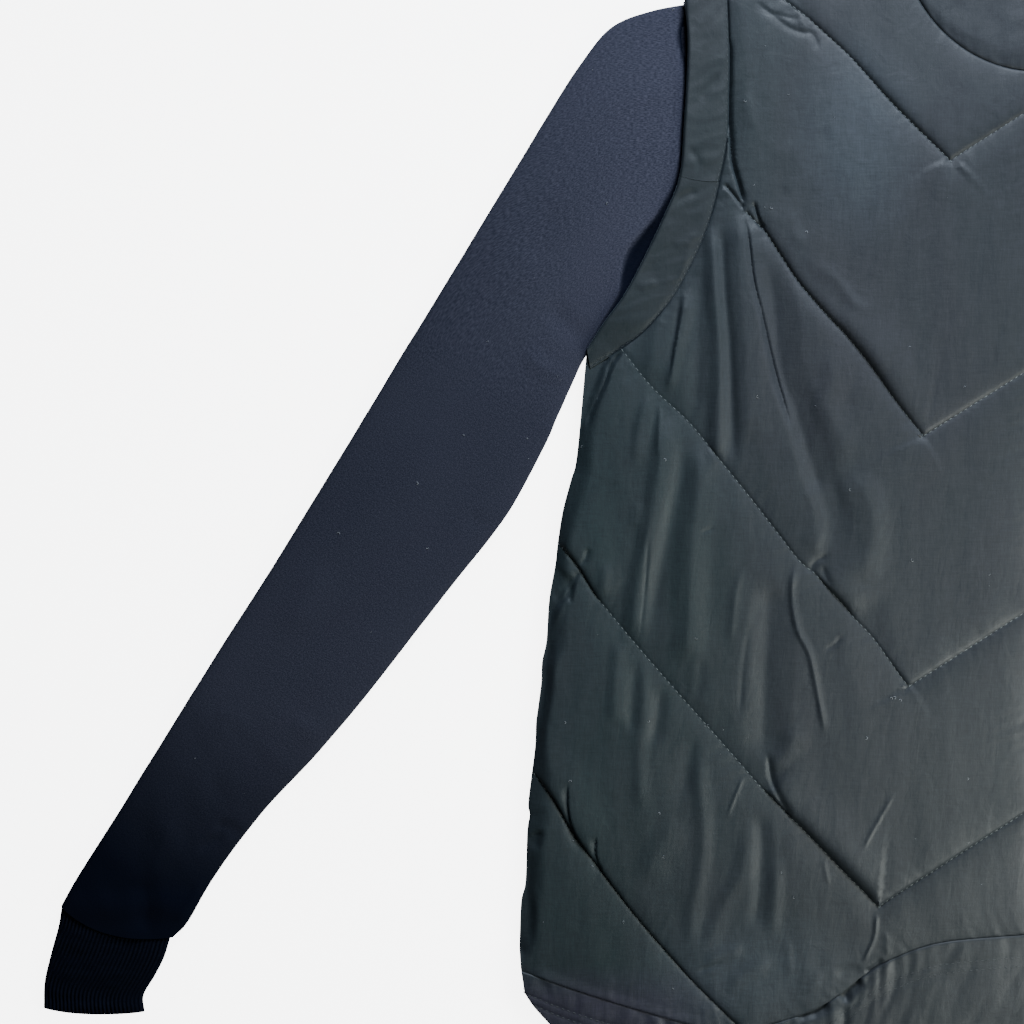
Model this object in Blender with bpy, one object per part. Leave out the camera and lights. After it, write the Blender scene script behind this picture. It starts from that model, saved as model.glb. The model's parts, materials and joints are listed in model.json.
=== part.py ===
"""Padded jacket with knit sleeves, zipped up and laid flat on its back.

Units are metres and +Z is up. The jacket lies on Z = 0 with its neck towards +Y and its
centre front on X = 0, so the wearer's right is at -X. Each front is drawn once, for the
wearer's right, and mirrored for the left.
"""

from collections import namedtuple
from math import cos, exp, hypot, pi, radians, sin, sqrt

import bmesh
import bpy
from mathutils import Vector
from mathutils.geometry import delaunay_2d_cdt

Point = namedtuple("Point", "x y")

# --- Driving sizes -------------------------------------------------------------------
GAP = 0.0003                # left between neighbouring pieces at every seam

# Heights of the layers above the surface that the jacket lies on
BACK_TOP = 0.0062           # top of the back's padding
FRONT_LOW = BACK_TOP + GAP  # underside of the fronts
SEAM_THICK = 0.0034         # a padded panel where it is sewn down
PUFF_THICK = 0.0084         # a padded panel between its quilting lines
PUFF_REACH = 0.018          # how far from a seam the padding takes to rise
SIDE_THICK = 0.0030         # a front at the side fold

# Neck and shoulder
NECK_HALF = 0.0800
NECK_Y = 0.3090             # height of the neck's side point
NECK_DROP_FRONT = 0.0850
NECK_DROP_BACK = 0.0200
COLLAR_SIDE_RISE = 0.0450   # collar's top above the neck's side point
COLLAR_DIP_FRONT = 0.0750   # how far that top dips at the centre front
COLLAR_DIP_BACK = 0.0100
COLLAR_THICK = 0.0032
COLLAR_FOLD = 0.0049        # outer radius of the folds at the collar's sides
COLLAR_SEAM = 0.0008        # between the collar and the necklines
COLLAR_TAPER = 0.04         # how much narrower the collar's top is

# Zip
ZIP_OPEN = 0.0052           # front edge from the centre line
TAPE_THICK = 0.0010
TAPE_SPLIT = 0.0004         # between the two tapes
CHAIN_HALF = 0.0030
CHAIN_THICK = 0.0022
ZIP_BOX = Vector((0.0084, 0.0100, 0.0034))
SLIDER = Vector((0.0084, 0.0120, 0.0042))
SLIDER_BELOW_TOP = 0.0030
BRIDGE = Vector((0.0022, 0.0076, 0.0012))
BRIDGE_RISE = 0.0024        # clear height under the slider's bridge
PULL_LENGTH = 0.0260        # from the hinge to the tab's end
PULL_WIDTH = 0.0072
PULL_THICK = 0.0012
PULL_EYE = 0.0056           # the eye's length, which the bridge passes through
OVERLAP = 0.0002            # of bodies that are united

# Knit
KNIT_WALL = 0.0015
SLEEVE_HIGH = 0.0064        # a sleeve's two layers and the air between them
SLEEVE_HEAD_HIGH = 0.0050   # the same under the armhole band
CUFF_HIGH = 0.0054

# Bands
BAND_THICK = 0.0026
BAND_LOWS = (0.0088, 0.0072)     # underside of a front band, outer and inner edge
SLEEVE_LIFT = BAND_THICK + GAP   # a sleeve's head lies on the back band
HEM_THICK = 0.0036
STRIP_CROWN = 0.0006        # how much lower a strip's edges are than its middle

# Fineness
COLLECTION = "padded_jacket"
FRONT_GRID = 0.030
BACK_GRID = 0.055
STRIP_ACROSS = 4            # points across a strip
COLLAR_ROWS = 4             # points up the collar
COLLAR_TURN = {118: "front", 121: "back", 150: "back", 180: "back", 210: "back", 240: "back"}
ACROSS = 9                  # points across one layer of a sleeve or cuff
NECK_ANGLES = (90, 78, 66, 54, 43, 32, 20, 14, 8)

# --- Lines of the cut, for the wearer's right half -------------------------------------
# Armhole band sections, from the shoulder to the underarm
BandRow = namedtuple("BandRow", "outer inner")
BAND = [
    BandRow(Point(-0.2024, 0.2654), Point(-0.1777, 0.2717)),
    BandRow(Point(-0.2007, 0.2424), Point(-0.1765, 0.2400)),
    BandRow(Point(-0.2012, 0.2200), Point(-0.1767, 0.2140)),
    BandRow(Point(-0.2028, 0.1930), Point(-0.1777, 0.1860)),
    BandRow(Point(-0.2053, 0.1642), Point(-0.1823, 0.1613)),
    BandRow(Point(-0.2139, 0.1423), Point(-0.1890, 0.1350)),
    BandRow(Point(-0.2260, 0.1170), Point(-0.2000, 0.1105)),
    BandRow(Point(-0.2375, 0.0957), Point(-0.2140, 0.0900)),
    BandRow(Point(-0.2480, 0.0815), Point(-0.2330, 0.0722)),
    BandRow(Point(-0.2580, 0.0660), Point(-0.2560, 0.0545)),
]
CROSS_SEAM_ROW = 4          # where the front band's two strips meet

SIDE = [
    Point(-0.2576, 0.0520),
    Point(-0.2605, 0.0290),
    Point(-0.2660, -0.0020),
    Point(-0.2722, -0.0377),
    Point(-0.2790, -0.0779),
    Point(-0.2836, -0.1190),
    Point(-0.2880, -0.1680),
    Point(-0.2925, -0.2150),
    Point(-0.2955, -0.2533),
    Point(-0.2970, -0.2780),
]
# Hem band sections, from the side to the zip: the seam with the panel, and the free edge
HemRow = namedtuple("HemRow", "seam edge")
HEM = [
    HemRow(Point(-0.2956, -0.2888), Point(-0.2935, -0.3020)),
    HemRow(Point(-0.2886, -0.2912), Point(-0.2860, -0.3125)),
    HemRow(Point(-0.2680, -0.2985), Point(-0.2690, -0.3285)),
    HemRow(Point(-0.2400, -0.3075), Point(-0.2420, -0.3410)),
    HemRow(Point(-0.2047, -0.3177), Point(-0.2060, -0.3510)),
    HemRow(Point(-0.1811, -0.3225), Point(-0.1811, -0.3539)),
    HemRow(Point(-0.1560, -0.3198), Point(-0.1560, -0.3530)),
    HemRow(Point(-0.1242, -0.3090), Point(-0.1260, -0.3490)),
    HemRow(Point(-0.0995, -0.2912), Point(-0.1006, -0.3447)),
    HemRow(Point(-0.0816, -0.2809), Point(-0.0816, -0.3415)),
    HemRow(Point(-0.0546, -0.2723), Point(-0.0546, -0.3378)),
    HemRow(Point(-0.0052, -0.2677), Point(-0.0052, -0.3355)),
]

# Quilting: each line falls from the side to a point near the front edge, then rises
QUILTING = {
    "shoulder": [
        Point(-0.1535, 0.2740),
        Point(-0.1259, 0.2452),
        Point(-0.0816, 0.2033),
        Point(-0.0506, 0.1734),
        Point(-0.0075, 0.2010),
    ],
    "chest": [
        Point(-0.1668, 0.1423),
        Point(-0.1460, 0.1147),
        Point(-0.1023, 0.0601),
        Point(-0.0655, 0.0158),
        Point(-0.0075, 0.0530),
    ],
    "waist": [
        Point(-0.2380, 0.0520),
        Point(-0.2047, 0.0290),
        Point(-0.1610, -0.0221),
        Point(-0.1052, -0.0865),
        Point(-0.0748, -0.1279),
        Point(-0.0075, -0.0840),
    ],
    "hip": [
        Point(-0.2700, -0.0445),
        Point(-0.2375, -0.0940),
        Point(-0.1800, -0.1584),
        Point(-0.1167, -0.2268),
        Point(-0.0914, -0.2527),
        Point(-0.0075, -0.1980),
    ],
    "hem corner": [
        Point(-0.2870, -0.1760),
        Point(-0.2536, -0.2286),
        Point(-0.2196, -0.2694),
        Point(-0.1720, -0.3190),
    ],
}

# Sleeve sections: the outer fold, the underarm fold, the share of the lift over the back
# band, and the shares of the two bows below that the section has
SleeveRow = namedtuple("SleeveRow", "outer under lift head hand")
SLEEVE = [
    SleeveRow(Point(-0.1949, 0.2642), Point(-0.2503, 0.0700), 1.00, 1.00, 0.00),
    SleeveRow(Point(-0.2208, 0.2596), Point(-0.2570, 0.0635), 1.00, 0.80, 0.00),
    SleeveRow(Point(-0.2438, 0.2504), Point(-0.2612, 0.0570), 0.60, 0.55, 0.00),
    SleeveRow(Point(-0.2616, 0.2291), Point(-0.2645, 0.0500), 0.30, 0.35, 0.00),
    SleeveRow(Point(-0.2794, 0.2015), Point(-0.2676, 0.0430), 0.10, 0.20, 0.00),
    SleeveRow(Point(-0.3076, 0.1550), Point(-0.2714, 0.0345), 0.00, 0.10, 0.00),
    SleeveRow(Point(-0.3364, 0.1078), Point(-0.2754, 0.0255), 0.00, 0.00, 0.00),
    SleeveRow(Point(-0.3622, 0.0653), Point(-0.2810, 0.0130), 0.00, 0.00, 0.00),
    SleeveRow(Point(-0.3881, 0.0227), Point(-0.3036, -0.0290), 0.00, 0.00, 0.00),
    SleeveRow(Point(-0.4186, -0.0273), Point(-0.3364, -0.0710), 0.00, 0.00, 0.00),
    SleeveRow(Point(-0.4514, -0.0796), Point(-0.3737, -0.1193), 0.00, 0.00, 0.00),
    SleeveRow(Point(-0.4830, -0.1297), Point(-0.4111, -0.1642), 0.00, 0.00, 0.00),
    SleeveRow(Point(-0.5089, -0.1711), Point(-0.4445, -0.2004), 0.00, 0.00, 0.30),
    SleeveRow(Point(-0.5320, -0.2080), Point(-0.4715, -0.2370), 0.00, 0.00, 0.75),
    SleeveRow(Point(-0.5500, -0.2370), Point(-0.4865, -0.2620), 0.00, 0.00, 1.00),
    SleeveRow(Point(-0.5590, -0.2530), Point(-0.4950, -0.2710), 0.00, 0.00, 1.00),
]
HEAD_BOW = Point(0.0212, -0.0060)    # the sleeve head's curve, towards the body
HAND_BOW = Point(-0.0052, -0.0067)   # the sleeve's lower end, over the cuff

# Cuff sections, with the share of the same bow towards the hand
CuffRow = namedtuple("CuffRow", "outer under hand")
CUFF = [
    CuffRow(Point(-0.5590, -0.2540), Point(-0.4968, -0.2716), 1.00),
    CuffRow(Point(-0.5608, -0.2648), Point(-0.5002, -0.2826), 0.80),
    CuffRow(Point(-0.5650, -0.2803), Point(-0.5054, -0.2930), 0.60),
    CuffRow(Point(-0.5687, -0.2964), Point(-0.5120, -0.3045), 0.40),
    CuffRow(Point(-0.5692, -0.3115), Point(-0.5115, -0.3137), 0.35),
]


# --- Lines and curves --------------------------------------------------------------------
def blend(a, b, share):
    """The point a share of the way from a to b."""
    return Point(a.x + (b.x - a.x) * share, a.y + (b.y - a.y) * share)


def smooth(points, per_span=3):
    """A Catmull-Rom curve through the points, with per_span steps between each two."""
    first = blend(points[1], points[0], 2.0)
    last = blend(points[-2], points[-1], 2.0)
    run = [first, *points, last]
    line = []
    for a, b, c, d in zip(run, run[1:], run[2:], run[3:]):
        for step in range(per_span):
            t = step / per_span
            weights = (
                0.5 * (-t + 2 * t**2 - t**3),
                0.5 * (2 - 5 * t**2 + 3 * t**3),
                0.5 * (t + 4 * t**2 - 3 * t**3),
                0.5 * (-(t**2) + t**3),
            )
            near = (a, b, c, d)
            x = sum(w * p.x for w, p in zip(weights, near))
            y = sum(w * p.y for w, p in zip(weights, near))
            line.append(Point(x, y))
    line.append(points[-1])
    return line


def clear_start(line):
    """The line, begun one seam gap later."""
    first = hypot(line[1].x - line[0].x, line[1].y - line[0].y)
    return [blend(line[0], line[1], GAP / first), *line[1:]]


def shifted(line, distance):
    """The line moved to its left by a distance, seen along its own direction."""
    moved = []
    for i, point in enumerate(line):
        before = line[max(i - 1, 0)]
        after = line[min(i + 1, len(line) - 1)]
        length = hypot(after.x - before.x, after.y - before.y)
        across = Point(-(after.y - before.y) / length, (after.x - before.x) / length)
        moved.append(Point(point.x + across.x * distance, point.y + across.y * distance))
    return moved


def mirrored(points):
    return [Point(-p.x, p.y) for p in points]


def distance_to(line, point):
    """The shortest distance from a point to a line of points."""
    best = float("inf")
    for a, b in zip(line, line[1:]):
        run = Point(b.x - a.x, b.y - a.y)
        share = ((point.x - a.x) * run.x + (point.y - a.y) * run.y) / (run.x**2 + run.y**2)
        near = blend(a, b, min(max(share, 0.0), 1.0))
        best = min(best, hypot(point.x - near.x, point.y - near.y))
    return best


def inside(loop, point):
    """Whether a point lies inside a closed loop."""
    crossings = 0
    for a, b in zip(loop, loop[1:] + loop[:1]):
        if (a.y > point.y) != (b.y > point.y):
            crossings += point.x < a.x + (b.x - a.x) * (point.y - a.y) / (b.y - a.y)
    return crossings % 2 == 1


def neckline_y(x, drop, half=NECK_HALF):
    """The neckline is half an ellipse, as deep as drop at the centre."""
    return NECK_Y - drop * sqrt(max(0.0, 1.0 - (x / half) ** 2))


# --- Meshes --------------------------------------------------------------------------------
def material(name, colour, roughness, metallic=0.0):
    made = bpy.data.materials.new(name)
    made.use_nodes = True
    shader = made.node_tree.nodes["Principled BSDF"]
    shader.inputs["Base Color"].default_value = (*colour, 1.0)
    shader.inputs["Roughness"].default_value = roughness
    shader.inputs["Metallic"].default_value = metallic
    return made


def add_object(name, bm, cloth):
    """Make a named object in the jacket's collection from a closed bmesh."""
    bmesh.ops.recalc_face_normals(bm, faces=bm.faces)
    mesh = bpy.data.meshes.new(name)
    bm.to_mesh(mesh)
    bm.free()
    mesh.shade_smooth()
    mesh.set_sharp_from_angle(angle=radians(50))
    mesh.materials.append(cloth)
    made = bpy.data.objects.new(name, mesh)
    bpy.data.collections[COLLECTION].objects.link(made)
    return made


def grid_inside(loop, spacing, keep_off):
    """Points of a staggered grid inside a loop, clear of the lines to keep off."""
    xs = [p.x for p in loop]
    ys = [p.y for p in loop]
    found = []
    for row in range(int((max(ys) - min(ys)) / spacing) + 1):
        for column in range(int((max(xs) - min(xs)) / spacing) + 1):
            stagger = 0.25 + 0.5 * (row % 2)
            point = Point(min(xs) + (column + stagger) * spacing, min(ys) + (row + 0.5) * spacing)
            clear = min(distance_to(line, point) for line in keep_off)
            if clear > 0.45 * spacing and inside(loop, point):
                found.append(point)
    return found


def add_panel(name, loop, quilting, low, spacing, thickness, cloth):
    """A panel cut to a loop: flat below, and above it as thick as thickness(point) says.

    Its quilting lines are edges of the mesh.
    """
    points = list(loop)
    edges = []
    for line in quilting:
        first = len(points)
        points += line
        edges += [(i, i + 1) for i in range(first, len(points) - 1)]
    points += grid_inside(loop, spacing, [loop + loop[:1], *quilting])
    flat = delaunay_2d_cdt([Vector(p) for p in points], edges, [range(len(loop))], 1, 1e-7)
    bm = bmesh.new()
    verts = [bm.verts.new((v.x, v.y, low + thickness(Point(v.x, v.y)))) for v in flat[0]]
    for face in flat[2]:
        bm.faces.new([verts[i] for i in face])
    lower = bmesh.ops.extrude_face_region(bm, geom=bm.faces[:])
    for part in lower["geom"]:
        if isinstance(part, bmesh.types.BMVert):
            part.co.z = low
    return add_object(name, bm, cloth)


def add_wall(name, outer, inner, cloth, closed=False):
    """A wall between two grids of points, open as a strip or closed as a tube."""
    bm = bmesh.new()
    layers = [[[bm.verts.new(p) for p in row] for row in grid] for grid in (outer, inner)]
    across = len(outer[0])
    spans = range(across if closed else across - 1)
    for row in range(len(outer) - 1):
        for layer in layers:
            for i in spans:
                j = (i + 1) % across
                bm.faces.new((layer[row][i], layer[row][j], layer[row + 1][j], layer[row + 1][i]))
        if not closed:
            for i in (0, across - 1):
                pair = [layers[0][row][i], layers[0][row + 1][i]]
                bm.faces.new(pair + [layers[1][row + 1][i], layers[1][row][i]])
    for row in (0, len(outer) - 1):
        for i in spans:
            j = (i + 1) % across
            pair = [layers[0][row][i], layers[0][row][j]]
            bm.faces.new(pair + [layers[1][row][j], layers[1][row][i]])
    bmesh.ops.triangulate(bm, faces=bm.faces)
    return add_object(name, bm, cloth)


def add_strip(name, edge_a, edge_b, lows, thick, cloth):
    """A flat strip between two edges, each with its height, a little fuller in the middle."""
    shares = [i / (STRIP_ACROSS - 1) for i in range(STRIP_ACROSS)]
    outer = []
    inner = []
    for a, b in zip(edge_a, edge_b):
        row = [(blend(a, b, share), lows[0] + (lows[1] - lows[0]) * share) for share in shares]
        inner.append([Vector((p.x, p.y, z)) for p, z in row])
        crowns = [thick - STRIP_CROWN * (1 - sin(pi * share)) for share in shares]
        outer.append([Vector((p.x, p.y, z + crown)) for (p, z), crown in zip(row, crowns)])
    return add_wall(name, outer, inner, cloth)


def flat_ring(a, b, bow, low, high, inset):
    """One section of a flattened tube: its upper layer from fold a to fold b, then back."""
    length = hypot(b.x - a.x, b.y - a.y)
    middle = low + high / 2
    half_high = high / 2 - inset
    ring = []
    for i in range(2 * (ACROSS - 1)):
        angle = pi * i / (ACROSS - 1)
        share = inset / length + (1 - cos(angle)) / 2 * (1 - 2 * inset / length)
        point = blend(a, b, share)
        lean = 4 * share * (1 - share)
        side = 1 if i < ACROSS else -1
        z = middle + side * half_high * abs(sin(angle)) ** 0.5
        ring.append(Vector((point.x + bow.x * lean, point.y + bow.y * lean, z)))
    return ring


def add_tube(name, sections, cloth, mirror):
    """A flattened tube of knit through sections of two folds, a bow, a lift and a height."""
    outer = [flat_ring(a, b, bow, low, high, 0.0) for a, b, bow, low, high in sections]
    inner = [flat_ring(a, b, bow, low, high, KNIT_WALL) for a, b, bow, low, high in sections]
    for grid in (outer, inner):
        for row in grid:
            for point in row:
                point.x *= mirror
    return add_wall(name, outer, inner, cloth, closed=True)


def add_box(name, low, high, bevel, cloth):
    """A box between two corners, with its edges taken off."""
    bm = bmesh.new()
    bmesh.ops.create_cube(bm, size=1.0)
    for vert in bm.verts:
        vert.co = Vector([(a + b) / 2 + c * (b - a) for a, b, c in zip(low, high, vert.co)])
    if bevel:
        bmesh.ops.bevel(bm, geom=bm.edges[:], offset=bevel, segments=1, affect="EDGES")
    return add_object(name, bm, cloth)


def join(target, other):
    """Unite another body with the target, and take the other away."""
    union = target.modifiers.new("union", "BOOLEAN")
    union.operation = "UNION"
    union.object = other
    evaluated = target.evaluated_get(bpy.context.evaluated_depsgraph_get())
    mesh = bpy.data.meshes.new_from_object(evaluated)
    target.modifiers.clear()
    target.data = mesh
    bpy.data.objects.remove(other)


# --- Body ----------------------------------------------------------------------------------
def sided(name, side):
    """The piece's name for the wearer's right (-1) or left (1)."""
    return f"{name}_{'right' if side < 0 else 'left'}"


def on_side(points, side):
    return points if side < 0 else mirrored(points)


def neck_edge(drop):
    """The neckline of a right half, from the centre to the neck's side point."""
    edge = []
    for angle in NECK_ANGLES:
        x = NECK_HALF * cos(radians(angle))
        edge.append(Point(-x, neckline_y(x, drop)))
    return edge + [Point(-NECK_HALF - GAP, NECK_Y)]


def side_and_hem():
    armhole = shifted(smooth([row.inner for row in BAND], 2), GAP)
    return armhole + smooth(SIDE, 2) + smooth([row.seam for row in HEM], 2)


def add_fronts(nylon):
    neck = neck_edge(NECK_DROP_FRONT)
    neck[0] = Point(-ZIP_OPEN, neckline_y(ZIP_OPEN, NECK_DROP_FRONT))
    outline = neck + side_and_hem()
    fold = smooth(SIDE, 2)
    quilting = [smooth(line, 2) for line in QUILTING.values()]
    seams = [outline + outline[:1], *quilting]

    def thickness(point):
        right = Point(-abs(point.x), point.y)
        if distance_to(fold, right) < GAP:
            return SIDE_THICK
        clear = min(distance_to(line, right) for line in seams)
        return PUFF_THICK - (PUFF_THICK - SEAM_THICK) * exp(-((clear / PUFF_REACH) ** 2))

    for side in (-1, 1):
        loop = on_side(outline, side)
        lines = [on_side(line, side) for line in quilting]
        add_panel(sided("front", side), loop, lines, FRONT_LOW, FRONT_GRID, thickness, nylon)


def add_back(nylon):
    """The back is pressed flat between the surface and the fronts."""
    right = neck_edge(NECK_DROP_BACK) + side_and_hem()
    outline = right + mirrored(right[1:])[::-1]
    add_panel("back", outline, [], 0.0, BACK_GRID, lambda point: BACK_TOP, nylon)


def add_bands(nylon):
    """The armhole bands: two strips in front, which the cross seam joins, and one behind."""
    outer = smooth([row.outer for row in BAND], 2)
    inner = smooth([row.inner for row in BAND], 2)
    cross = 2 * CROSS_SEAM_ROW
    below = [clear_start(line[cross:]) for line in (outer, inner)]
    for side in (-1, 1):
        a, b = (on_side(line[: cross + 1], side) for line in (outer, inner))
        add_strip(sided("band_front_upper", side), a, b, BAND_LOWS, BAND_THICK, nylon)
        a, b = (on_side(line, side) for line in below)
        add_strip(sided("band_front_lower", side), a, b, BAND_LOWS, BAND_THICK, nylon)
        a, b = (on_side(line, side) for line in (outer, inner))
        add_strip(sided("band_back", side), a, b, (0.0, 0.0), BAND_THICK, nylon)


def add_hem(nylon):
    seam = shifted(smooth([row.seam for row in HEM], 2), -GAP)
    edge = smooth([row.edge for row in HEM], 2)
    for side in (-1, 1):
        a, b = (on_side(line, side) for line in (seam, edge))
        add_strip(sided("hem_front", side), a, b, (FRONT_LOW, FRONT_LOW), HEM_THICK, nylon)
    a, b = (line + mirrored(line)[::-1] for line in (seam, edge))
    add_strip("hem_back", a, b, (0.0, 0.0), BACK_TOP, nylon)


def collar_path():
    """The collar's run round the neck, as (x, z, outward normal x and z, layer's drop, dip)."""
    inset = COLLAR_FOLD - COLLAR_THICK / 2
    centre = NECK_HALF - COLLAR_FOLD
    front = (NECK_DROP_FRONT, COLLAR_DIP_FRONT)
    back = (NECK_DROP_BACK, COLLAR_DIP_BACK)
    flat = [NECK_HALF * cos(radians(angle)) for angle in NECK_ANGLES if angle > 15]
    path = [(-ZIP_OPEN, COLLAR_FOLD + inset, 0.0, 1.0, *front)]
    path += [(-x, COLLAR_FOLD + inset, 0.0, 1.0, *front) for x in flat[1:]]
    for angle, layer in COLLAR_TURN.items():
        out = cos(radians(angle))
        up = sin(radians(angle))
        way = front if layer == "front" else back
        path.append((-centre + inset * out, COLLAR_FOLD + inset * up, out, up, *way))
    path += [(-x, COLLAR_FOLD - inset, 0.0, -1.0, *back) for x in reversed(flat)]
    return path + [(-x, z, -out, up, drop, dip) for x, z, out, up, drop, dip in path[-2::-1]]


def add_collar(nylon):
    """A stand collar: a wall round the neck, flattened, open at the zip."""
    outer = []
    inner = []
    for x, z, out, up, drop, dip in collar_path():
        edge_x = x + out * COLLAR_THICK / 2
        low = neckline_y(edge_x, drop) + COLLAR_SEAM
        top = neckline_y(edge_x, dip) + COLLAR_SIDE_RISE
        rows = ([], [])
        for step in range(COLLAR_ROWS):
            share = step / (COLLAR_ROWS - 1)
            y = low + (top - low) * share
            narrow = 1.0 - COLLAR_TAPER * share
            for row, way in zip(rows, (0.5, -0.5)):
                x_at = (x + way * COLLAR_THICK * out) * narrow if abs(x) > ZIP_OPEN else x
                row.append(Vector((x_at, y, z + way * COLLAR_THICK * up)))
        outer.append(rows[0])
        inner.append(rows[1])
    add_wall("collar", outer, inner, nylon)


# --- Sleeves -------------------------------------------------------------------------------
def add_sleeves(knit, cuff_knit):
    sleeve = []
    for row in SLEEVE:
        bow = Point(
            HEAD_BOW.x * row.head + HAND_BOW.x * row.hand,
            HEAD_BOW.y * row.head + HAND_BOW.y * row.hand,
        )
        high = SLEEVE_HIGH - (SLEEVE_HIGH - SLEEVE_HEAD_HIGH) * row.lift
        sleeve.append((row.outer, row.under, bow, SLEEVE_LIFT * row.lift, high))
    cuff = []
    for row in CUFF:
        bow = Point(HAND_BOW.x * row.hand, HAND_BOW.y * row.hand)
        cuff.append((row.outer, row.under, bow, 0.0, CUFF_HIGH))
    for side in (-1, 1):
        add_tube(sided("sleeve", side), sleeve, knit, -side)
        add_tube(sided("cuff", side), cuff, cuff_knit, -side)


# --- Zip -----------------------------------------------------------------------------------
def add_zip(tape, plastic):
    """Two tapes, the closed chain, the box at its foot, and the slider at its top."""
    foot = HEM[-1].edge.y
    top = neckline_y(ZIP_OPEN, COLLAR_DIP_FRONT) + COLLAR_SIDE_RISE
    face = FRONT_LOW + TAPE_THICK
    for side in (-1, 1):
        xs = sorted((side * (ZIP_OPEN - GAP), side * TAPE_SPLIT / 2))
        corners = ((xs[0], foot, FRONT_LOW), (xs[1], top, face))
        add_box(sided("zip_tape", side), *corners, 0.0, tape)
    low = face + GAP
    box_top = foot + ZIP_BOX.y
    slider_low = top - SLIDER_BELOW_TOP - SLIDER.y
    box = ((-ZIP_BOX.x / 2, foot, low), (ZIP_BOX.x / 2, box_top, low + ZIP_BOX.z))
    add_box("zip_box", *box, 0.0006, plastic)
    chain = ((-CHAIN_HALF, box_top + GAP, low), (CHAIN_HALF, slider_low - GAP, low + CHAIN_THICK))
    add_box("zip_chain", *chain, 0.0004, plastic)
    add_slider(slider_low, low, plastic)


def add_slider(slider_low, low, plastic):
    """The slider with its bridge, and the pull tab whose bar passes under the bridge."""
    deck = low + SLIDER.z
    middle = slider_low + SLIDER.y / 2
    half = SLIDER.x / 2
    body = ((-half, slider_low, low), (half, slider_low + SLIDER.y, deck))
    slider = add_box("zip_slider", *body, 0.0008, plastic)
    reach = BRIDGE.y / 2
    under = deck + BRIDGE_RISE
    for way in (-1, 1):
        ends = sorted((middle + way * reach, middle + way * (reach - BRIDGE.z)))
        post = ((-BRIDGE.x / 2, ends[0], deck - OVERLAP), (BRIDGE.x / 2, ends[1], under + OVERLAP))
        join(slider, add_box("post", *post, 0.0, plastic))
    bar = ((-BRIDGE.x / 2, middle - reach, under), (BRIDGE.x / 2, middle + reach, under + BRIDGE.z))
    join(slider, add_box("bar", *bar, 0.0, plastic))

    half = PULL_WIDTH / 2
    thick = PULL_THICK / 2
    pull = add_box("zip_pull", (-half, -thick, -thick), (half, thick, thick), 0.0, plastic)
    for way in (-1, 1):
        xs = sorted((way * half, way * (half - PULL_THICK)))
        arm = ((xs[0], -PULL_EYE - OVERLAP, -thick), (xs[1], -thick + OVERLAP, thick))
        join(pull, add_box("arm", *arm, 0.0, plastic))
    tab = ((-half, -PULL_LENGTH, -thick), (half, -PULL_EYE, thick))
    join(pull, add_box("tab", *tab, 0.0, plastic))
    pull.location = (0.0, middle, deck + BRIDGE_RISE / 2)


def main():
    for existing in list(bpy.data.objects):
        bpy.data.objects.remove(existing)
    jacket = bpy.data.collections.new(COLLECTION)
    bpy.context.scene.collection.children.link(jacket)

    nylon = material("padded nylon", (0.042, 0.056, 0.062), 0.38)
    knit = material("dense knit", (0.022, 0.030, 0.050), 0.85)
    cuff_knit = material("cuff knit", (0.006, 0.008, 0.014), 0.90)
    tape = material("zip tape", (0.012, 0.014, 0.018), 0.80)
    plastic = material("zip plastic", (0.015, 0.017, 0.020), 0.35)

    add_back(nylon)
    add_fronts(nylon)
    add_bands(nylon)
    add_hem(nylon)
    add_collar(nylon)
    add_sleeves(knit, cuff_knit)
    add_zip(tape, plastic)


main()
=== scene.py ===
"""Looks of a padded jacket with knit sleeves, zipped up and laid flat on its back.

Units are metres and +Z is up. The neck is towards +Y and the centre front on X = 0, so the
wearer's right is at -X. Lines are drawn for the wearer's right half and mirrored for the left.
"""

import sys
import json
import logging
from dataclasses import dataclass
from enum import Enum
from itertools import product
from math import cos, pi, radians, sin, sqrt
from typing import Any, Callable, Iterable, Sequence

import bmesh
import bpy
import numpy as np
from bmesh.types import BMesh, BMVert
from bpy.types import Material, NodeSocket, NodeTree, Object
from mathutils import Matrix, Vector
from mathutils.bvhtree import BVHTree
from mathutils.geometry import delaunay_2d_cdt

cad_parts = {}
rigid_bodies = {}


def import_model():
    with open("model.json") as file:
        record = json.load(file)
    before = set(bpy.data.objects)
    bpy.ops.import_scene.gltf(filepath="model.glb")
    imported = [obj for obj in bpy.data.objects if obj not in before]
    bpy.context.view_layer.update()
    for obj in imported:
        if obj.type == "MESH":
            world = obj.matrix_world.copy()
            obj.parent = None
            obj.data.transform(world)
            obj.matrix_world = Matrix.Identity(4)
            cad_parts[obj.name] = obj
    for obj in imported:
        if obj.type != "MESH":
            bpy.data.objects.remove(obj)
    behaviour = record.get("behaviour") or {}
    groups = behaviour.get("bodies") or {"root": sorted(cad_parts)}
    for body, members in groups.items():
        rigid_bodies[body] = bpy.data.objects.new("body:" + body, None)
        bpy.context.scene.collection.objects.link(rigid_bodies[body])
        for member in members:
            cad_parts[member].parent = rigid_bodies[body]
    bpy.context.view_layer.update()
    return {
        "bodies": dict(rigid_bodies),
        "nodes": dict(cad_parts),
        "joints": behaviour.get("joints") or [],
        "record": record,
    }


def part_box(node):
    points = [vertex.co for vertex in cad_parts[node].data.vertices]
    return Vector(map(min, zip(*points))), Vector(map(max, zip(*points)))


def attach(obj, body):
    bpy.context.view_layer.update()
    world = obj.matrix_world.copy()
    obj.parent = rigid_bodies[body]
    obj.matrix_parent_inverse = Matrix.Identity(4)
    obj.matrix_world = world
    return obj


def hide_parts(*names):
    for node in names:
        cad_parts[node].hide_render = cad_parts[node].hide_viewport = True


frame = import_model()

LOG = logging.getLogger("padded_jacket")
Array = np.ndarray
Pair = tuple[float, float]
Triple = tuple[float, float, float]

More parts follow.
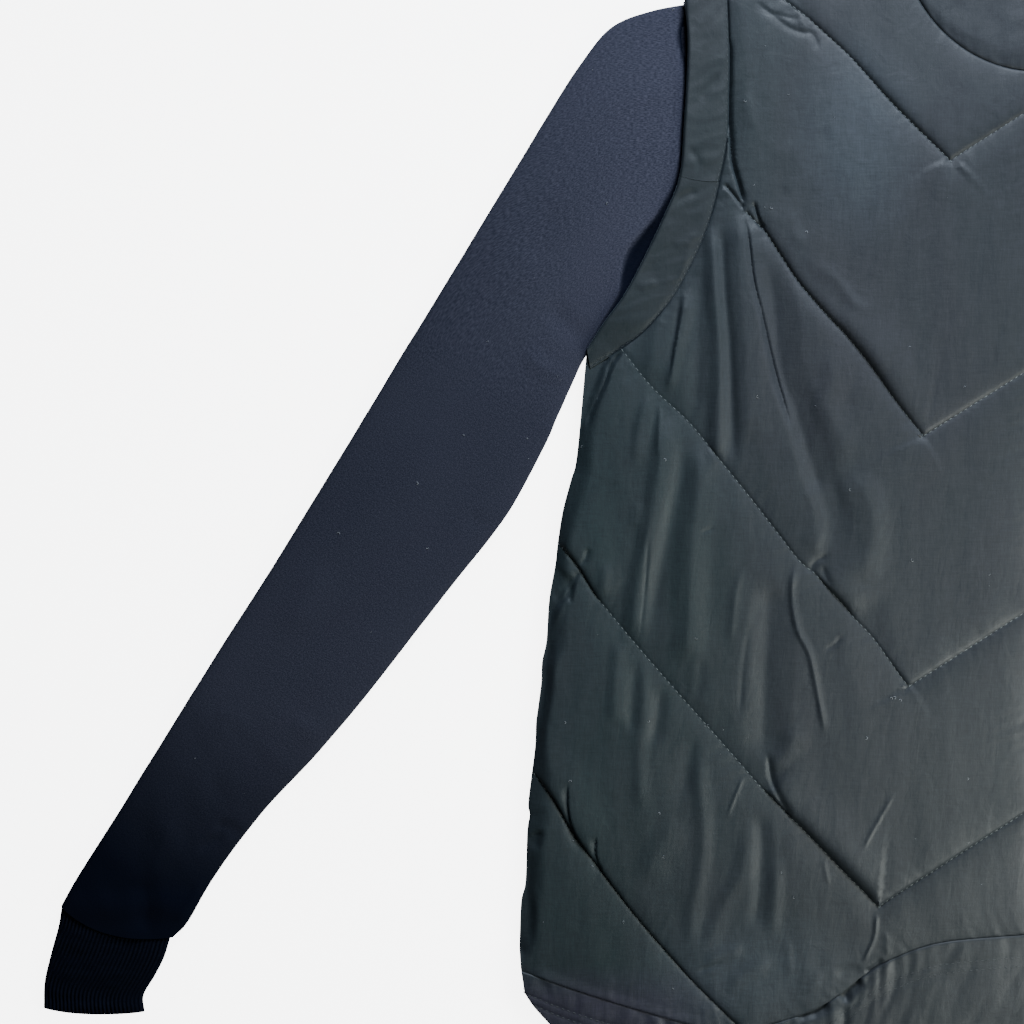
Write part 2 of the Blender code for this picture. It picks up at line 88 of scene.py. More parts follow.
GAP = 0.0003  # left between the front and back layers
LAP = 0.0002  # how far pieces reach past the line that they are sewn on

# --- Heights of the layers above the surface that the jacket lies on ---
BACK_TOP = 0.0062
FRONT_LOW = BACK_TOP + GAP
SEAM_THICK = 0.0034  # a padded panel where it is sewn down
FINE = 8  # steps in each span of a smoothed line
STITCH_PITCH = 0.0034
SHARP = radians(55)  # edges turned further than this stay sharp
# How far the finer rows of a panel's mesh lie beside its edge, a quilting line and a crisp fold
BESIDE_EDGE = (0.0005, 0.0012, 0.0022, 0.0035)
BESIDE_SEAM = (0.0006, 0.0014, 0.0026)
BESIDE_FOLD = (0.0, 0.0006, 0.0013, 0.0021)
MERGED = 0.0004  # points of a mesh that are nearer each other than this become one
FAR = 1e9

# --- Lines of the cut ---
NECK_HALF = 0.08
NECK_Y = 0.309
NECK_DROP_FRONT = 0.085
NECK_DROP_BACK = 0.02
COLLAR_RISE = 0.045  # collar's top above the neck's side point
COLLAR_DIP_FRONT = 0.075
COLLAR_DIP_BACK = 0.01
ZIP_OPEN = 0.0052  # front edge from the centre line

# Armhole band, from the shoulder to the underarm: outer x, y and inner x, y
BAND_ROWS = np.array([
    (-0.2024, 0.2654, -0.1777, 0.2717),
    (-0.2007, 0.2424, -0.1765, 0.2400),
    (-0.2012, 0.2200, -0.1767, 0.2140),
    (-0.2028, 0.1930, -0.1777, 0.1860),
    (-0.2053, 0.1642, -0.1823, 0.1613),
    (-0.2139, 0.1423, -0.1890, 0.1350),
    (-0.2260, 0.1170, -0.2000, 0.1105),
    (-0.2375, 0.0957, -0.2112, 0.0915),
    (-0.2480, 0.0815, -0.2285, 0.0722),
    (-0.2580, 0.0660, -0.2560, 0.0545),
])
CROSS_SEAM_ROW = 4  # where the front band's two strips meet
SIDE_LINE = np.array([
    (-258, 64.5), (-263.5, 5.5), (-267, -9), (-271.5, -26), (-274.5, -44.5), (-276, -58),
    (-279.5, -78), (-281, -101), (-283.5, -113), (-284, -125), (-286, -140.5), (-287, -148),
    (-287.5, -161.5), (-290, -181.5), (-291.5, -195), (-290.5, -200.5), (-292, -210),
    (-293, -239), (-295.5, -250.5), (-296.5, -276.5),
]) / 1000
# Hem band, from the side to the zip: seam x, y and free edge x, y
HEM_ROWS = np.array([
    (-0.2956, -0.2888, -0.2935, -0.3020),
    (-0.2886, -0.2912, -0.2860, -0.3125),
    (-0.2680, -0.2985, -0.2690, -0.3285),
    (-0.2400, -0.3075, -0.2420, -0.3410),
    (-0.2047, -0.3177, -0.2060, -0.3510),
    (-0.1811, -0.3225, -0.1811, -0.3539),
    (-0.1560, -0.3198, -0.1560, -0.3530),
    (-0.1242, -0.3090, -0.1260, -0.3490),
    (-0.0995, -0.2912, -0.1006, -0.3447),
    (-0.0816, -0.2809, -0.0816, -0.3415),
    (-0.0546, -0.2723, -0.0546, -0.3378),
    (-0.0052, -0.2677, -0.0052, -0.3355),
])
# Quilting of one front, in millimetres: x, y, how far the padding swells beside the stitches
# on the side towards the neck, how near them it does so, and its swell towards the hem
QUILTING = (
    (  # shoulder
        (-153.5, 270.5, 0.2, 1.6, 0.1), (-134, 256, 0.7, 1.4, 0.2), (-126.5, 249.5, 1, 1.3, 0.2),
        (-109, 233.5, 1.1, 1.3, 0.3), (-97.5, 221, 1.4, 1.4, 0.3), (-81.5, 203.5, 1.8, 1.5, 0.4),
        (-52.5, 175, 1.2, 1.3, 0.6), (-50.5, 173.5, 1.2, 1.3, 0.6), (-48, 175, 1.2, 1.3, 0.6),
        (-7.5, 201, 0.8, 1.3, 0.5),
    ),
    (  # chest
        (-167, 143.5, 0.9, 1.4, 0.7), (-162, 138.5, 1.4, 1.2, 1), (-156.5, 133, 1.5, 1.2, 1.2),
        (-148, 120, 1.7, 1.2, 1.4), (-136.5, 103, 1.7, 1.2, 1.4), (-120.5, 84.5, 2.2, 1.4, 1.2),
        (-110.5, 74, 3, 1.8, 0.9), (-96, 56, 3.6, 2, 0.7), (-81.5, 35.5, 2.4, 1.8, 0.8),
        (-67.5, 18, 1.2, 1.3, 0.6), (-65.5, 16.5, 1.2, 1.3, 0.6), (-63, 18, 1.2, 1.3, 0.6),
        (-7.5, 53, 0.8, 1.3, 0.6),
    ),
    (  # waist
        (-239, 66.5, 0.1, 1.5, 0.1), (-221.5, 44.5, 0.2, 1.5, 0.1), (-200, 24, 0.3, 1.2, 0.2),
        (-184, 4.5, 0.4, 1.2, 0.3), (-167, -16.5, 0.5, 1.2, 0.3), (-149.5, -39, 0.6, 1, 0.3),
        (-137, -55, 0.5, 1, 0.3), (-128, -62.5, 0.5, 1, 0.3), (-121.5, -70, 2.2, 1.2, 0.3),
        (-112, -80, 2.2, 1.2, 0.3), (-105, -88.5, 0.6, 1, 0.3), (-95, -99, 0.5, 1, 0.3),
        (-82, -117, 0.9, 1, 0.4), (-76, -125, 1, 1.1, 0.5), (-74, -126.5, 1, 1.1, 0.5),
        (-71.5, -125, 1, 1.1, 0.5), (-7.5, -84, 0.8, 1.3, 0.5),
    ),
    (  # hip
        (-275.5, -44, 1.8, 1.2, 0.3), (-264.5, -57, 2, 1.2, 0.4), (-253.5, -74.5, 1.6, 1.2, 0.4),
        (-247, -82.5, 0.4, 1.2, 0.2), (-230, -103, 0.25, 1.2, 0.2), (-207, -129.5, 0.3, 1.2, 0.2),
        (-184, -155.5, 0.25, 1.4, 0.2), (-159.5, -183.5, 0.5, 1.2, 0.3), (-152.5, -190.5, 2.8, 1.6, 0.4),
        (-142, -201.5, 3.2, 1.8, 0.5), (-135, -208, 3.6, 2, 0.5), (-112, -232, 4.4, 2.5, 0.5),
        (-100.5, -243.5, 4, 2.4, 0.6), (-93.5, -251, 3.2, 1.8, 0.6), (-91.5, -252.5, 2.6, 1.4, 0.6),
        (-89.5, -251.5, 2.2, 1.2, 0.6), (-82, -246, 1.6, 1.2, 0.6), (-7.5, -198, 1, 1.2, 0.6),
    ),
    (  # hem corner
        (-288, -177, 2.2, 1, 0.4), (-277, -192, 2.5, 1.1, 0.4), (-267, -209.5, 2.6, 1.2, 0.4),
        (-252.5, -229, 2, 1, 0.4), (-230, -258.5, 1.2, 1, 0.3), (-207, -285, 1.4, 1.2, 0.3),
        (-195.5, -297.5, 1.2, 1.2, 0.3), (-171.5, -321, 1.6, 1.4, 0.4),
    ),
)
# Where the sleeve sinks in beside the armhole's bands: x, y, how far and how deep, in mm
BAND_HOLLOW = np.array([
    (-0.2030, 0.2600, 1.0, 0.0), (-0.2020, 0.2450, 4.5, 4.2), (-0.2006, 0.2330, 3.5, 3.6),
    (-0.2012, 0.2200, 1.6, 2.0), (-0.2028, 0.1930, 1.4, 2.0), (-0.2053, 0.1642, 2.0, 2.6),
    (-0.2139, 0.1423, 3.6, 4.0), (-0.2200, 0.1295, 7.0, 4.8), (-0.2260, 0.1170, 10.0, 4.9),
    (-0.2320, 0.1060, 7.0, 4.8), (-0.2375, 0.0957, 3.0, 3.4), (-0.2480, 0.0815, 1.4, 1.8),
    (-0.2580, 0.0660, 1.2, 1.0),
])
FULL_PAINTED_SHADE = 0.001  # the cloth's third coordinate where the hollow beside the band is painted fully in shade
# Sleeve sections, from the shoulder to the hand: outer fold x, y, underarm fold x, y, the
# share of the lift over the back band, and the shares of the bows at the head and the hand
SLEEVE_ROWS = np.array([
    (-0.1949, 0.2642, -0.2503, 0.0700, 1, 1, 0),
    (-0.2208, 0.2596, -0.2570, 0.0635, 1, 0.80, 0),
    (-0.2438, 0.2504, -0.2612, 0.0570, 0.60, 0.55, 0),
    (-0.2616, 0.2291, -0.2645, 0.0500, 0.30, 0.35, 0),
    (-0.2794, 0.2015, -0.2676, 0.0430, 0.10, 0.20, 0),
    (-0.3076, 0.1550, -0.2714, 0.0345, 0, 0.10, 0),
    (-0.3364, 0.1078, -0.2754, 0.0255, 0, 0, 0),
    (-0.3622, 0.0653, -0.2810, 0.0130, 0, 0, 0),
    (-0.3881, 0.0227, -0.3036, -0.0290, 0, 0, 0),
    (-0.4186, -0.0273, -0.3364, -0.0710, 0, 0, 0),
    (-0.4514, -0.0796, -0.3737, -0.1193, 0, 0, 0),
    (-0.4830, -0.1297, -0.4111, -0.1642, 0, 0, 0),
    (-0.5089, -0.1711, -0.4445, -0.2004, 0, 0, 0.30),
    (-0.5320, -0.2080, -0.4715, -0.2370, 0, 0, 0.75),
    (-0.5500, -0.2370, -0.4865, -0.2620, 0, 0, 1),
    (-0.5590, -0.2530, -0.4950, -0.2710, 0, 0, 1),
])
# Cuff sections: outer fold x, y, underarm fold x, y, and the share of the hand's bow
CUFF_ROWS = np.array([
    (-0.5590, -0.2540, -0.4968, -0.2716, 1),
    (-0.5608, -0.2648, -0.5002, -0.2826, 0.80),
    (-0.5650, -0.2803, -0.5054, -0.2930, 0.60),
    (-0.5687, -0.2964, -0.5120, -0.3045, 0.40),
    (-0.5692, -0.3115, -0.5115, -0.3137, 0.35),
])
HEAD_BOW = np.array((0.0212, -0.006))
HAND_BOW = np.array((-0.0052, -0.0067))


class Side(Enum):
    """The wearer's two sides, with the sign of X on each."""

    RIGHT = -1
    LEFT = 1

    def named(self, name: str) -> str:
        """The name with the side at its end."""
        return f"{name}_{self.name.lower()}"

    def turn(self, points: Array) -> Array:
        """Points of the right half, brought to this side."""
        return points * np.array([-self.value, *[1] * (points.shape[-1] - 1)])


# --- Lines ---
def smooth(points: Array, per_span: int = FINE) -> Array:
    """Draw a Catmull-Rom curve through points.

    Args:
        points: One point a row, with any further columns carried along.
        per_span: Steps between each two points.

    Returns:
        The curve's points, one a row.
    """
    run = np.vstack([2 * points[0] - points[1], points, 2 * points[-1] - points[-2]])
    t = np.arange(per_span) / per_span
    weights = 0.5 * np.array([
        -t + 2 * t**2 - t**3, 2 - 5 * t**2 + 3 * t**3, t + 4 * t**2 - 3 * t**3, -(t**2) + t**3,
    ])
    spans = [weights.T @ run[i : i + 4] for i in range(len(points) - 1)]
    return np.vstack([*spans, points[-1:]])


def lengths_along(line: Array) -> Array:
    """The distance from the line's start to each of its points."""
    steps = np.linalg.norm(np.diff(line[:, :2], axis=0), axis=1)
    return np.concatenate([[0.0], np.cumsum(steps)])


def resampled(line: Array, step: float) -> Array:
    """The same line with points about a step apart."""
    at = lengths_along(line)
    want = np.linspace(0.0, at[-1], max(2, round(at[-1] / step) + 1))
    return np.column_stack([np.interp(want, at, column) for column in line.T])


def shifted(line: Array, distance: float) -> Array:
    """The line moved to its left by a distance, seen along its own direction."""
    ahead = np.vstack([line[1:], line[-1:]]) - np.vstack([line[:1], line[:-1]])
    ahead = ahead[:, :2] / np.linalg.norm(ahead[:, :2], axis=1, keepdims=True)
    moved = line.copy()
    moved[:, :2] += distance * np.column_stack([-ahead[:, 1], ahead[:, 0]])
    return moved


@dataclass
class Reach:
    """How points lie to a line: how far off, how far along, and on which side (1 is left)."""

    off: Array
    along: Array
    side: Array


def reach(line: Array, points: Array) -> Reach:
    """Find each point's place beside a line.

    Args:
        line: The line's points, one a row.
        points: The points to place, one a row.

    Returns:
        The distance off the line, the distance along it, and the side.
    """
    starts = lengths_along(line)
    found = Reach(np.full(len(points), FAR), np.zeros(len(points)), np.zeros(len(points)))
    for i, (a, b) in enumerate(zip(line[:-1, :2], line[1:, :2])):
        run = b - a
        length = float(np.hypot(*run))
        if length < 1e-9:
            continue
        rel = points[:, :2] - a
        share = np.clip(rel @ run / length**2, 0.0, 1.0)
        off = np.hypot(rel[:, 0] - share * run[0], rel[:, 1] - share * run[1])
        nearer = off < found.off
        found.off[nearer] = off[nearer]
        found.along[nearer] = starts[i] + share[nearer] * length
        cross = run[0] * rel[:, 1] - run[1] * rel[:, 0]
        found.side[nearer] = np.where(cross[nearer] >= 0, 1.0, -1.0)
    return found


def inside(loop: Array, points: Array) -> Array:
    """Whether each point lies inside a closed loop.

    Args:
        loop: The loop's points, the first not repeated.
        points: The points to test.

    Returns:
        True for those inside.
    """
    within = np.zeros(len(points), bool)
    x, y = points[:, 0], points[:, 1]
    for a, b in zip(loop, np.roll(loop, -1, axis=0)):
        if a[1] != b[1]:
            at = a[0] + (b[0] - a[0]) * (y - a[1]) / (b[1] - a[1])
            within ^= ((a[1] > y) != (b[1] > y)) & (x < at)
    return within


def ease(share: Array) -> Array:
    """A smooth step from 0 to 1."""
    share = np.clip(share, 0.0, 1.0)
    return share * share * (3 - 2 * share)


def bell(share: Array) -> Array:
    """A soft hump, 1 at 0 and gone by 2 on either side."""
    return np.exp(-(share**2))


def rounded(share: Array) -> Array:
    """A quarter circle that rises from 0 to 1."""
    return np.sqrt(1 - (1 - np.minimum(share, 1)) ** 2)


class Noise:
    """Seeded gradient noise over the plane, about -1 to 1."""

    SIZE = 128

    def __init__(self, seed: int) -> None:
        """Draw the lattice's directions."""
        angles = np.random.default_rng(seed).uniform(0, 2 * pi, (self.SIZE, self.SIZE))
        self.across, self.up = np.cos(angles), np.sin(angles)

    def at(self, x: Array, y: Array | float) -> Array:
        """The noise at each place, with cells one unit wide.

        Args:
            x: How far along each place is.
            y: How far up it is.

        Returns:
            The noise, about -1 to 1.
        """
        x, y = np.broadcast_arrays(x, y)
        low_x, low_y = np.floor(x).astype(int), np.floor(y).astype(int)
        fx, fy = x - low_x, y - low_y
        ease_x = fx**3 * (fx * (fx * 6 - 15) + 10)
        ease_y = fy**3 * (fy * (fy * 6 - 15) + 10)
        total = np.zeros_like(fx)
        for dx, weight_x in ((0, 1 - ease_x), (1, ease_x)):
            for dy, weight_y in ((0, 1 - ease_y), (1, ease_y)):
                cell = (low_x + dx) % self.SIZE, (low_y + dy) % self.SIZE
                slope = self.across[cell] * (fx - dx) + self.up[cell] * (fy - dy)
                total += weight_x * weight_y * slope
        return total * 1.4

    def layered(self, x: Array, y: Array | float, layers: int = 3) -> Array:
        """Several sizes of the noise added up, each half as large and half as high."""
        return sum(self.at(x * 2**i + 7.3 * i, y * 2**i) / 2**i for i in range(layers))


def staggered(columns: int, rows: int) -> Array:
    """A grid one unit wide in which every other row lies half a unit further along."""
    grid = np.stack(np.meshgrid(np.arange(columns), np.arange(rows)), axis=-1).reshape(-1, 2)
    return grid + np.column_stack([0.5 * (grid[:, 1] % 2), np.zeros(len(grid))])


def nearest(lines: Iterable[Array], points: Array) -> Array:
    """How far each point is from the nearest of several lines."""
    return np.min([reach(line, points).off for line in lines], axis=0)


@dataclass(frozen=True)
class Crease:
    """A soft ridge or, with a negative height, a trough. Its sizes are in millimetres."""

    wide: float  # half its width
    high: float
    lean: float  # from -1 to 1, how much steeper its left side is, seen along it
    ends: float  # the share of its length over which each end fades
    line: Array  # points that it passes, in metres

    @classmethod
    def through(cls, wide: float, high: float, lean: float, ends: float, *line: float) -> "Crease":
        """Make one through points whose x and y follow in turn, in millimetres."""
        return cls(wide, high, lean, ends, np.reshape(line, (-1, 2)) / 1000)

    def relief(self, points: Array) -> Array:
        """The height that the crease gives each point.

        Args:
            points: Places in the plane, one a row.

        Returns:
            The heights, in metres.
        """
        line = smooth(self.line, 6)
        margin = 0.004 * self.wide * (1 + abs(self.lean))
        near = ((points > line.min(axis=0) - margin) & (points < line.max(axis=0) + margin)).all(axis=1)
        place = reach(line, points[near])
        share = place.along / lengths_along(line)[-1]
        fade = ease(share / self.ends) * ease((1 - share) / self.ends)
        raised = np.zeros(len(points))
        raised[near] = self.high / 1000 * fade * self.profile(place)
        return raised

    def profile(self, place: Reach) -> Array:
        """The share of its height beside its line: two flat slopes, rounded where they meet."""
        wide = 1.7 * self.wide / 1000 * (1 - self.lean * place.side)
        left = 1.08 - np.sqrt((place.off / wide) ** 2 + 0.0064)
        return 0.5 * (left + np.sqrt(left**2 + 0.008))


@dataclass(frozen=True)
class Step(Crease):
    """A fold past which the cloth stays low, on the right side of its line."""

    def profile(self, place: Reach) -> Array:
        """The share of its height beside its line."""
        return np.where(place.side < 0, ease(place.off / (self.wide / 1000)), 0.0)


fold, step = Crease.through, Step.through


def soft(wide: float, high: float, *line: float) -> Crease:
    """A crease with even sides, which fades over nearly a third of its length at each end."""
    return fold(wide, high, 0.0, 0.3, *line)


def creased(creases: Iterable[Crease], points: Array) -> Array:
    """The heights of several creases added up, at points in any grid."""
    flat = points.reshape(-1, 2)
    heights = sum((crease.relief(flat) for crease in creases), np.zeros(len(flat)))
    return heights.reshape(points.shape[:-1])


# --- Meshes ---
def placed(name: str, data: Any) -> Object:
    """Put an object that holds this data into the scene."""
    made = bpy.data.objects.new(name, data)
    bpy.context.scene.collection.objects.link(made)
    return made


def new_piece(name: str, bm: BMesh, finish: Material) -> Object:
    """Make a shown piece from a closed bmesh, with its faces turned outwards.

    Args:
        name: The piece's name.
        bm: The mesh, which is freed.
        finish: The material.

    Returns:
        The piece, at the origin.
    """
    bmesh.ops.recalc_face_normals(bm, faces=bm.faces)
    mesh = bpy.data.meshes.new(name)
    bm.to_mesh(mesh)
    bm.free()
    mesh.shade_smooth()
    mesh.set_sharp_from_angle(angle=SHARP)
    mesh.materials.append(finish)
    return placed(name, mesh)


def cloth_mesh(points: Array, places: Array, faces: Iterable[Sequence[int]]) -> BMesh:
    """Make a bmesh that keeps where each point is on the flat cloth.

    Args:
        points: One point a row.
        places: Each point's place on the flat cloth, which the finishes follow.
        faces: The numbers of each face's points.

    Returns:
        The mesh.
    """
    bm = bmesh.new()
    layer = bm.verts.layers.float_vector.new("cloth")
    verts = [bm.verts.new(point) for point in points]
    for vert, place in zip(verts, places):
        vert[layer] = place
    for face in faces:
        bm.faces.new([verts[i] for i in face])
    return bm


def cloth_places(grid: Array, closed: bool) -> Array:
    """Lay a grid of points out as flat cloth.

    Args:
        grid: Rows of points.
        closed: True where each row is a ring, whose two layers lie on each other.

    Returns:
        Each point's place: across its row, along the rows, and 0.
    """
    middle = grid[:, grid.shape[1] // 2]
    along = np.concatenate([[0], np.cumsum(np.linalg.norm(np.diff(middle, axis=0), axis=1))])
    steps = np.linalg.norm(np.diff(grid, axis=1), axis=2)
    across = np.concatenate([np.zeros((len(grid), 1)), np.cumsum(steps, axis=1)], axis=1)
    across -= across[:, -1:] / 2
    if closed:
        half = grid.shape[1] // 2
        across[:, half + 1 :] = across[:, 1:half][:, ::-1]
    return np.dstack([across, np.broadcast_to(along[:, None], across.shape), 0 * across])


def build_wall(name: str, outer: Array, inner: Array, finish: Material, closed: bool) -> Object:
    """Make cloth between two grids of points, open as a strip or closed as a tube.

    Args:
        name: The piece's name.
        outer: Rows of points of the outer surface.
        inner: Rows of points of the inner surface. A tube's may have fewer rows.
        finish: The material.
        closed: True for a tube, whose rows are rings.

    Returns:
        The piece.
    """
    across = outer.shape[1]
    spans = [(i, (i + 1) % across) for i in range(across if closed else across - 1)]
    over, under = (np.arange(grid.size // 3).reshape(-1, across) for grid in (outer, inner))
    under += over.size
    faces = []
    for rows in (over, under):
        for row, after in zip(rows, rows[1:]):
            faces += [(row[i], row[j], after[j], after[i]) for i, j in spans]
    if not closed:
        sides = [zip(over[:, i], over[1:, i], under[1:, i], under[:, i]) for i in (0, -1)]
        faces += [face for side in sides for face in side]
    for a, b in ((over[0], under[0]), (over[-1], under[-1])):
        faces += [(a[i], a[j], b[j], b[i]) for i, j in spans]
    points, places = (
        np.vstack([grid.reshape(-1, 3) for grid in grids])
        for grids in ((outer, inner), [cloth_places(grid, closed) for grid in (outer, inner)])
    )
    return new_piece(name, cloth_mesh(points, places, faces), finish)


@dataclass(frozen=True)
class PanelCut:
    """A panel's outline and the lines sewn across it."""

    sewn: list[Array]  # lines of the outline that are sewn down
    folded: list[Array]  # lines of the outline where the cloth turns over
    quilting: list[Array]
    loop: Array  # the whole outline, closed, without its first point repeated
    features: Sequence[Array] = ()  # lines of crisp folds, along which the mesh is finer

    def turned(self, side: Side) -> "PanelCut":
        """The same panel, brought from the right half to a side."""
        parts = (self.sewn, self.folded, self.quilting, [self.loop], self.features)
        sewn, folded, quilting, loop, features = ([side.turn(line) for line in part] for part in parts)
        return PanelCut(sewn, folded, quilting, loop[0], features)

    def spread(self, spacing: float) -> tuple[Array, list[tuple[int, int]], int]:
        """Lay out the points of the panel's mesh.

        Args:
            spacing: How far apart they are away from its lines.

        Returns:
            The points, of which the outline's come first, the edges of the quilting, and
            how many points the outline has.
        """
        outline = resampled(np.vstack([self.loop, self.loop[:1]]), spacing * 0.9)[:-1]
        points, edges = [outline], []
        count = len(outline)
        for line in self.quilting:
            row = resampled(line[:, :2], min(spacing * 0.7, STITCH_PITCH / 4))
            edges += [(i, i + 1) for i in range(count, count + len(row) - 1)]
            points.append(row)
            count += len(row)
        kept = np.vstack(points)
        ring = np.vstack([outline, outline[:1]])
        beside = []
        for line, offs in [(ring, BESIDE_EDGE), *((line[:, :2], BESIDE_SEAM) for line in self.quilting)]:
            for off, way in product(offs, (-1, 1)):
                row = shifted(resampled(line, spacing * 0.8), way * off)
                beside.append((row[reach(line, row).off > 0.97 * off], off))
        for line in self.features:
            for off, way in product(BESIDE_FOLD, (-1, 1)):
                beside.append((shifted(resampled(line, spacing * 0.8), way * off), BESIDE_FOLD[1]))
        sparse = [line[::2] for line in (ring, *self.quilting)]
        for row, off in beside:
            points.append(row[inside(outline, row) & (nearest(sparse, row) > 0.8 * off)])
        low, high = outline.min(axis=0), outline.max(axis=0)
        rise = spacing * 0.87
        grid = staggered(int((high[0] - low[0]) / spacing) + 1, int((high[1] - low[1]) / rise))
        grid = low + (grid + (0.25, 0.5)) * (spacing, rise)
        clear = np.minimum(
            reach(sparse[0], grid).off - BESIDE_EDGE[-1], nearest(sparse[1:], grid) - BESIDE_SEAM[-1]
        )
        points.append(grid[inside(outline, grid) & (clear > 0.4 * spacing)])
        merged = np.vstack(points)[len(kept) :]
        _, first = np.unique(np.round(merged / MERGED), axis=0, return_index=True)
        return np.vstack([kept, merged[np.sort(first)]]), edges, len(outline)


def build_panel(
    name: str, cut: PanelCut, height: Callable[[Array], Array], flat: float, spacing: float,
    finish: Material,
) -> Object:
    """Make a padded panel with one shaped face and one flat face.

    Args:
        name: The piece's name.
        cut: Its lines.
        height: Gives the Z of the shaped face at points.
        flat: The Z of the flat face.
        spacing: How far apart the shaped face's points are.
        finish: The material.

    Returns:
        The piece.
    """
    points, edges, count = cut.spread(spacing)
    laid = delaunay_2d_cdt([Vector(p) for p in points], edges, [range(count)], 1, 1e-7)
    places = np.array([(v.x, v.y) for v in laid[0]])
    shaped = np.column_stack([places, height(places)])
    bm = cloth_mesh(shaped, np.column_stack([places, np.zeros(len(places))]), laid[2])
    rim = [edge for edge in bm.edges if len(edge.link_faces) == 1]
    for part in bmesh.ops.extrude_edge_only(bm, edges=rim)["geom"]:
        if isinstance(part, BMVert):
            part.co.z = flat
    rim = [edge for edge in bm.edges if len(edge.link_faces) == 1]
    bmesh.ops.triangle_fill(bm, use_beauty=False, edges=rim)
    return new_piece(name, bm, finish)


# --- Finishes ---
class NodeGraph:
    """Adds nodes to a tree, each with its inputs set or linked in one call."""

    def __init__(self, tree: NodeTree) -> None:
        """Start on an empty tree."""
        self.tree = tree
        tree.nodes.clear()

    def add(self, kind: str, inputs: dict[Any, Any] | None = None, **settings: Any) -> Any:
        """Add one node.

        Args:
            kind: The node's type name.
            inputs: What each input holds, by name or number: a value or another's output.
            settings: The node's own settings.

        Returns:
            The node.
        """
        node = self.tree.nodes.new(kind)
        for name, value in settings.items():
            setattr(node, name, value)
        for key, value in (inputs or {}).items():
            self.fill(node.inputs[key], value)
        return node

    def fill(self, socket: NodeSocket, value: Any) -> None:
        """Fill an input.

        Args:
            socket: The input.
            value: Another node's output, or the value itself; a colour's alpha may be left out.
        """
        if isinstance(value, NodeSocket):
            self.tree.links.new(value, socket)
        elif socket.type == "RGBA" and len(value) == 3:
            socket.default_value = (*value, 1.0)
        else:
            socket.default_value = value

    def maths(self, operation: str, *values: Any) -> Any:
        """The output of one Math node."""
        return self.add("ShaderNodeMath", dict(enumerate(values)), operation=operation).outputs[0]

    def vector(self, operation: str, *values: Any) -> Any:
        """One Vector Math node."""
        return self.add("ShaderNodeVectorMath", dict(enumerate(values)), operation=operation)


class Cloth(NodeGraph):
    """The nodes of one material, with the patterns that the cloths share."""

    def __init__(self, name: str) -> None:
        """Make the material and its shader."""
        self.material = bpy.data.materials.new(name)
        self.material.use_nodes = True
        super().__init__(self.material.node_tree)
        self.shader = self.add("ShaderNodeBsdfPrincipled")
        self.add("ShaderNodeOutputMaterial", {"Surface": self.shader.outputs[0]})
        self.place = self.add("ShaderNodeTexCoord").outputs["Object"]

    def scaled(self, scale: Triple, turn: float = 0.0) -> Any:
        """The place, turned in the plane and then scaled."""
        inputs = {"Vector": self.place, "Rotation": (0.0, 0.0, radians(turn))}
        turned = self.add("ShaderNodeMapping", inputs).outputs[0]
        return self.add("ShaderNodeMapping", {"Vector": turned, "Scale": scale}).outputs[0]

    def noise(self, scale: Any, detail: float, distortion: float = 0.0, turn: float = 0.0) -> Any:
        """Noise over the cloth.

        Args:
            scale: Its cells in a metre, in one number or one for each axis.
            detail: How many finer layers it has.
            distortion: How far it is warped.
            turn: Its turn in the plane, in degrees.

        Returns:
            The node's output.
        """
        if not isinstance(scale, tuple):
            scale = (scale, scale, scale)
        inputs = {
            "Vector": self.scaled(scale, turn), "Scale": 1.0, "Detail": detail,
            "Distortion": distortion,
        }
        return self.add("ShaderNodeTexNoise", inputs).outputs[0]

    def ridges(self, across: float, turn: float, distortion: float = 0.0) -> Any:
        """Fine even ridges, this many a metre, at a turn in degrees."""
        inputs = {
            "Vector": self.scaled((across, across, across), turn), "Scale": 2 * pi / 20,
            "Distortion": distortion, "Detail": 1.0, "Detail Scale": 0.5,
        }
        return self.add("ShaderNodeTexWave", inputs, wave_profile="SIN").outputs["Fac"]

    def fitted(self, value: Any, low: float, high: float, start: float = 0.3, end: float = 0.7) -> Any:
        """A value from start to end, brought to low to high."""
        inputs = {0: value, 1: start, 2: end, 3: low, 4: high}
        return self.add("ShaderNodeMapRange", inputs, clamp=True).outputs[0]

    def mixed(self, share: Any, a: Any, b: Any) -> Any:
        """A share of colour b in colour a."""
        return self.add("ShaderNodeMix", {0: share, 6: a, 7: b}, data_type="RGBA").outputs[2]

    def bumped(self, *layers: tuple[Any, float]) -> None:
        """Bump the surface by heights, each with how many metres it stands."""
        under = {}
        for height, distance in layers:
            inputs = {"Height": height, "Distance": distance, "Strength": 1.0, **under}
            under = {"Normal": self.add("ShaderNodeBump", inputs).outputs[0]}
        self.set(**under)

    def set(self, **values: Any) -> None:
        """Set or link the shader's inputs, whose names have _ for spaces."""
        for name, value in values.items():
            self.fill(self.shader.inputs[name.replace("_", " ")], value)


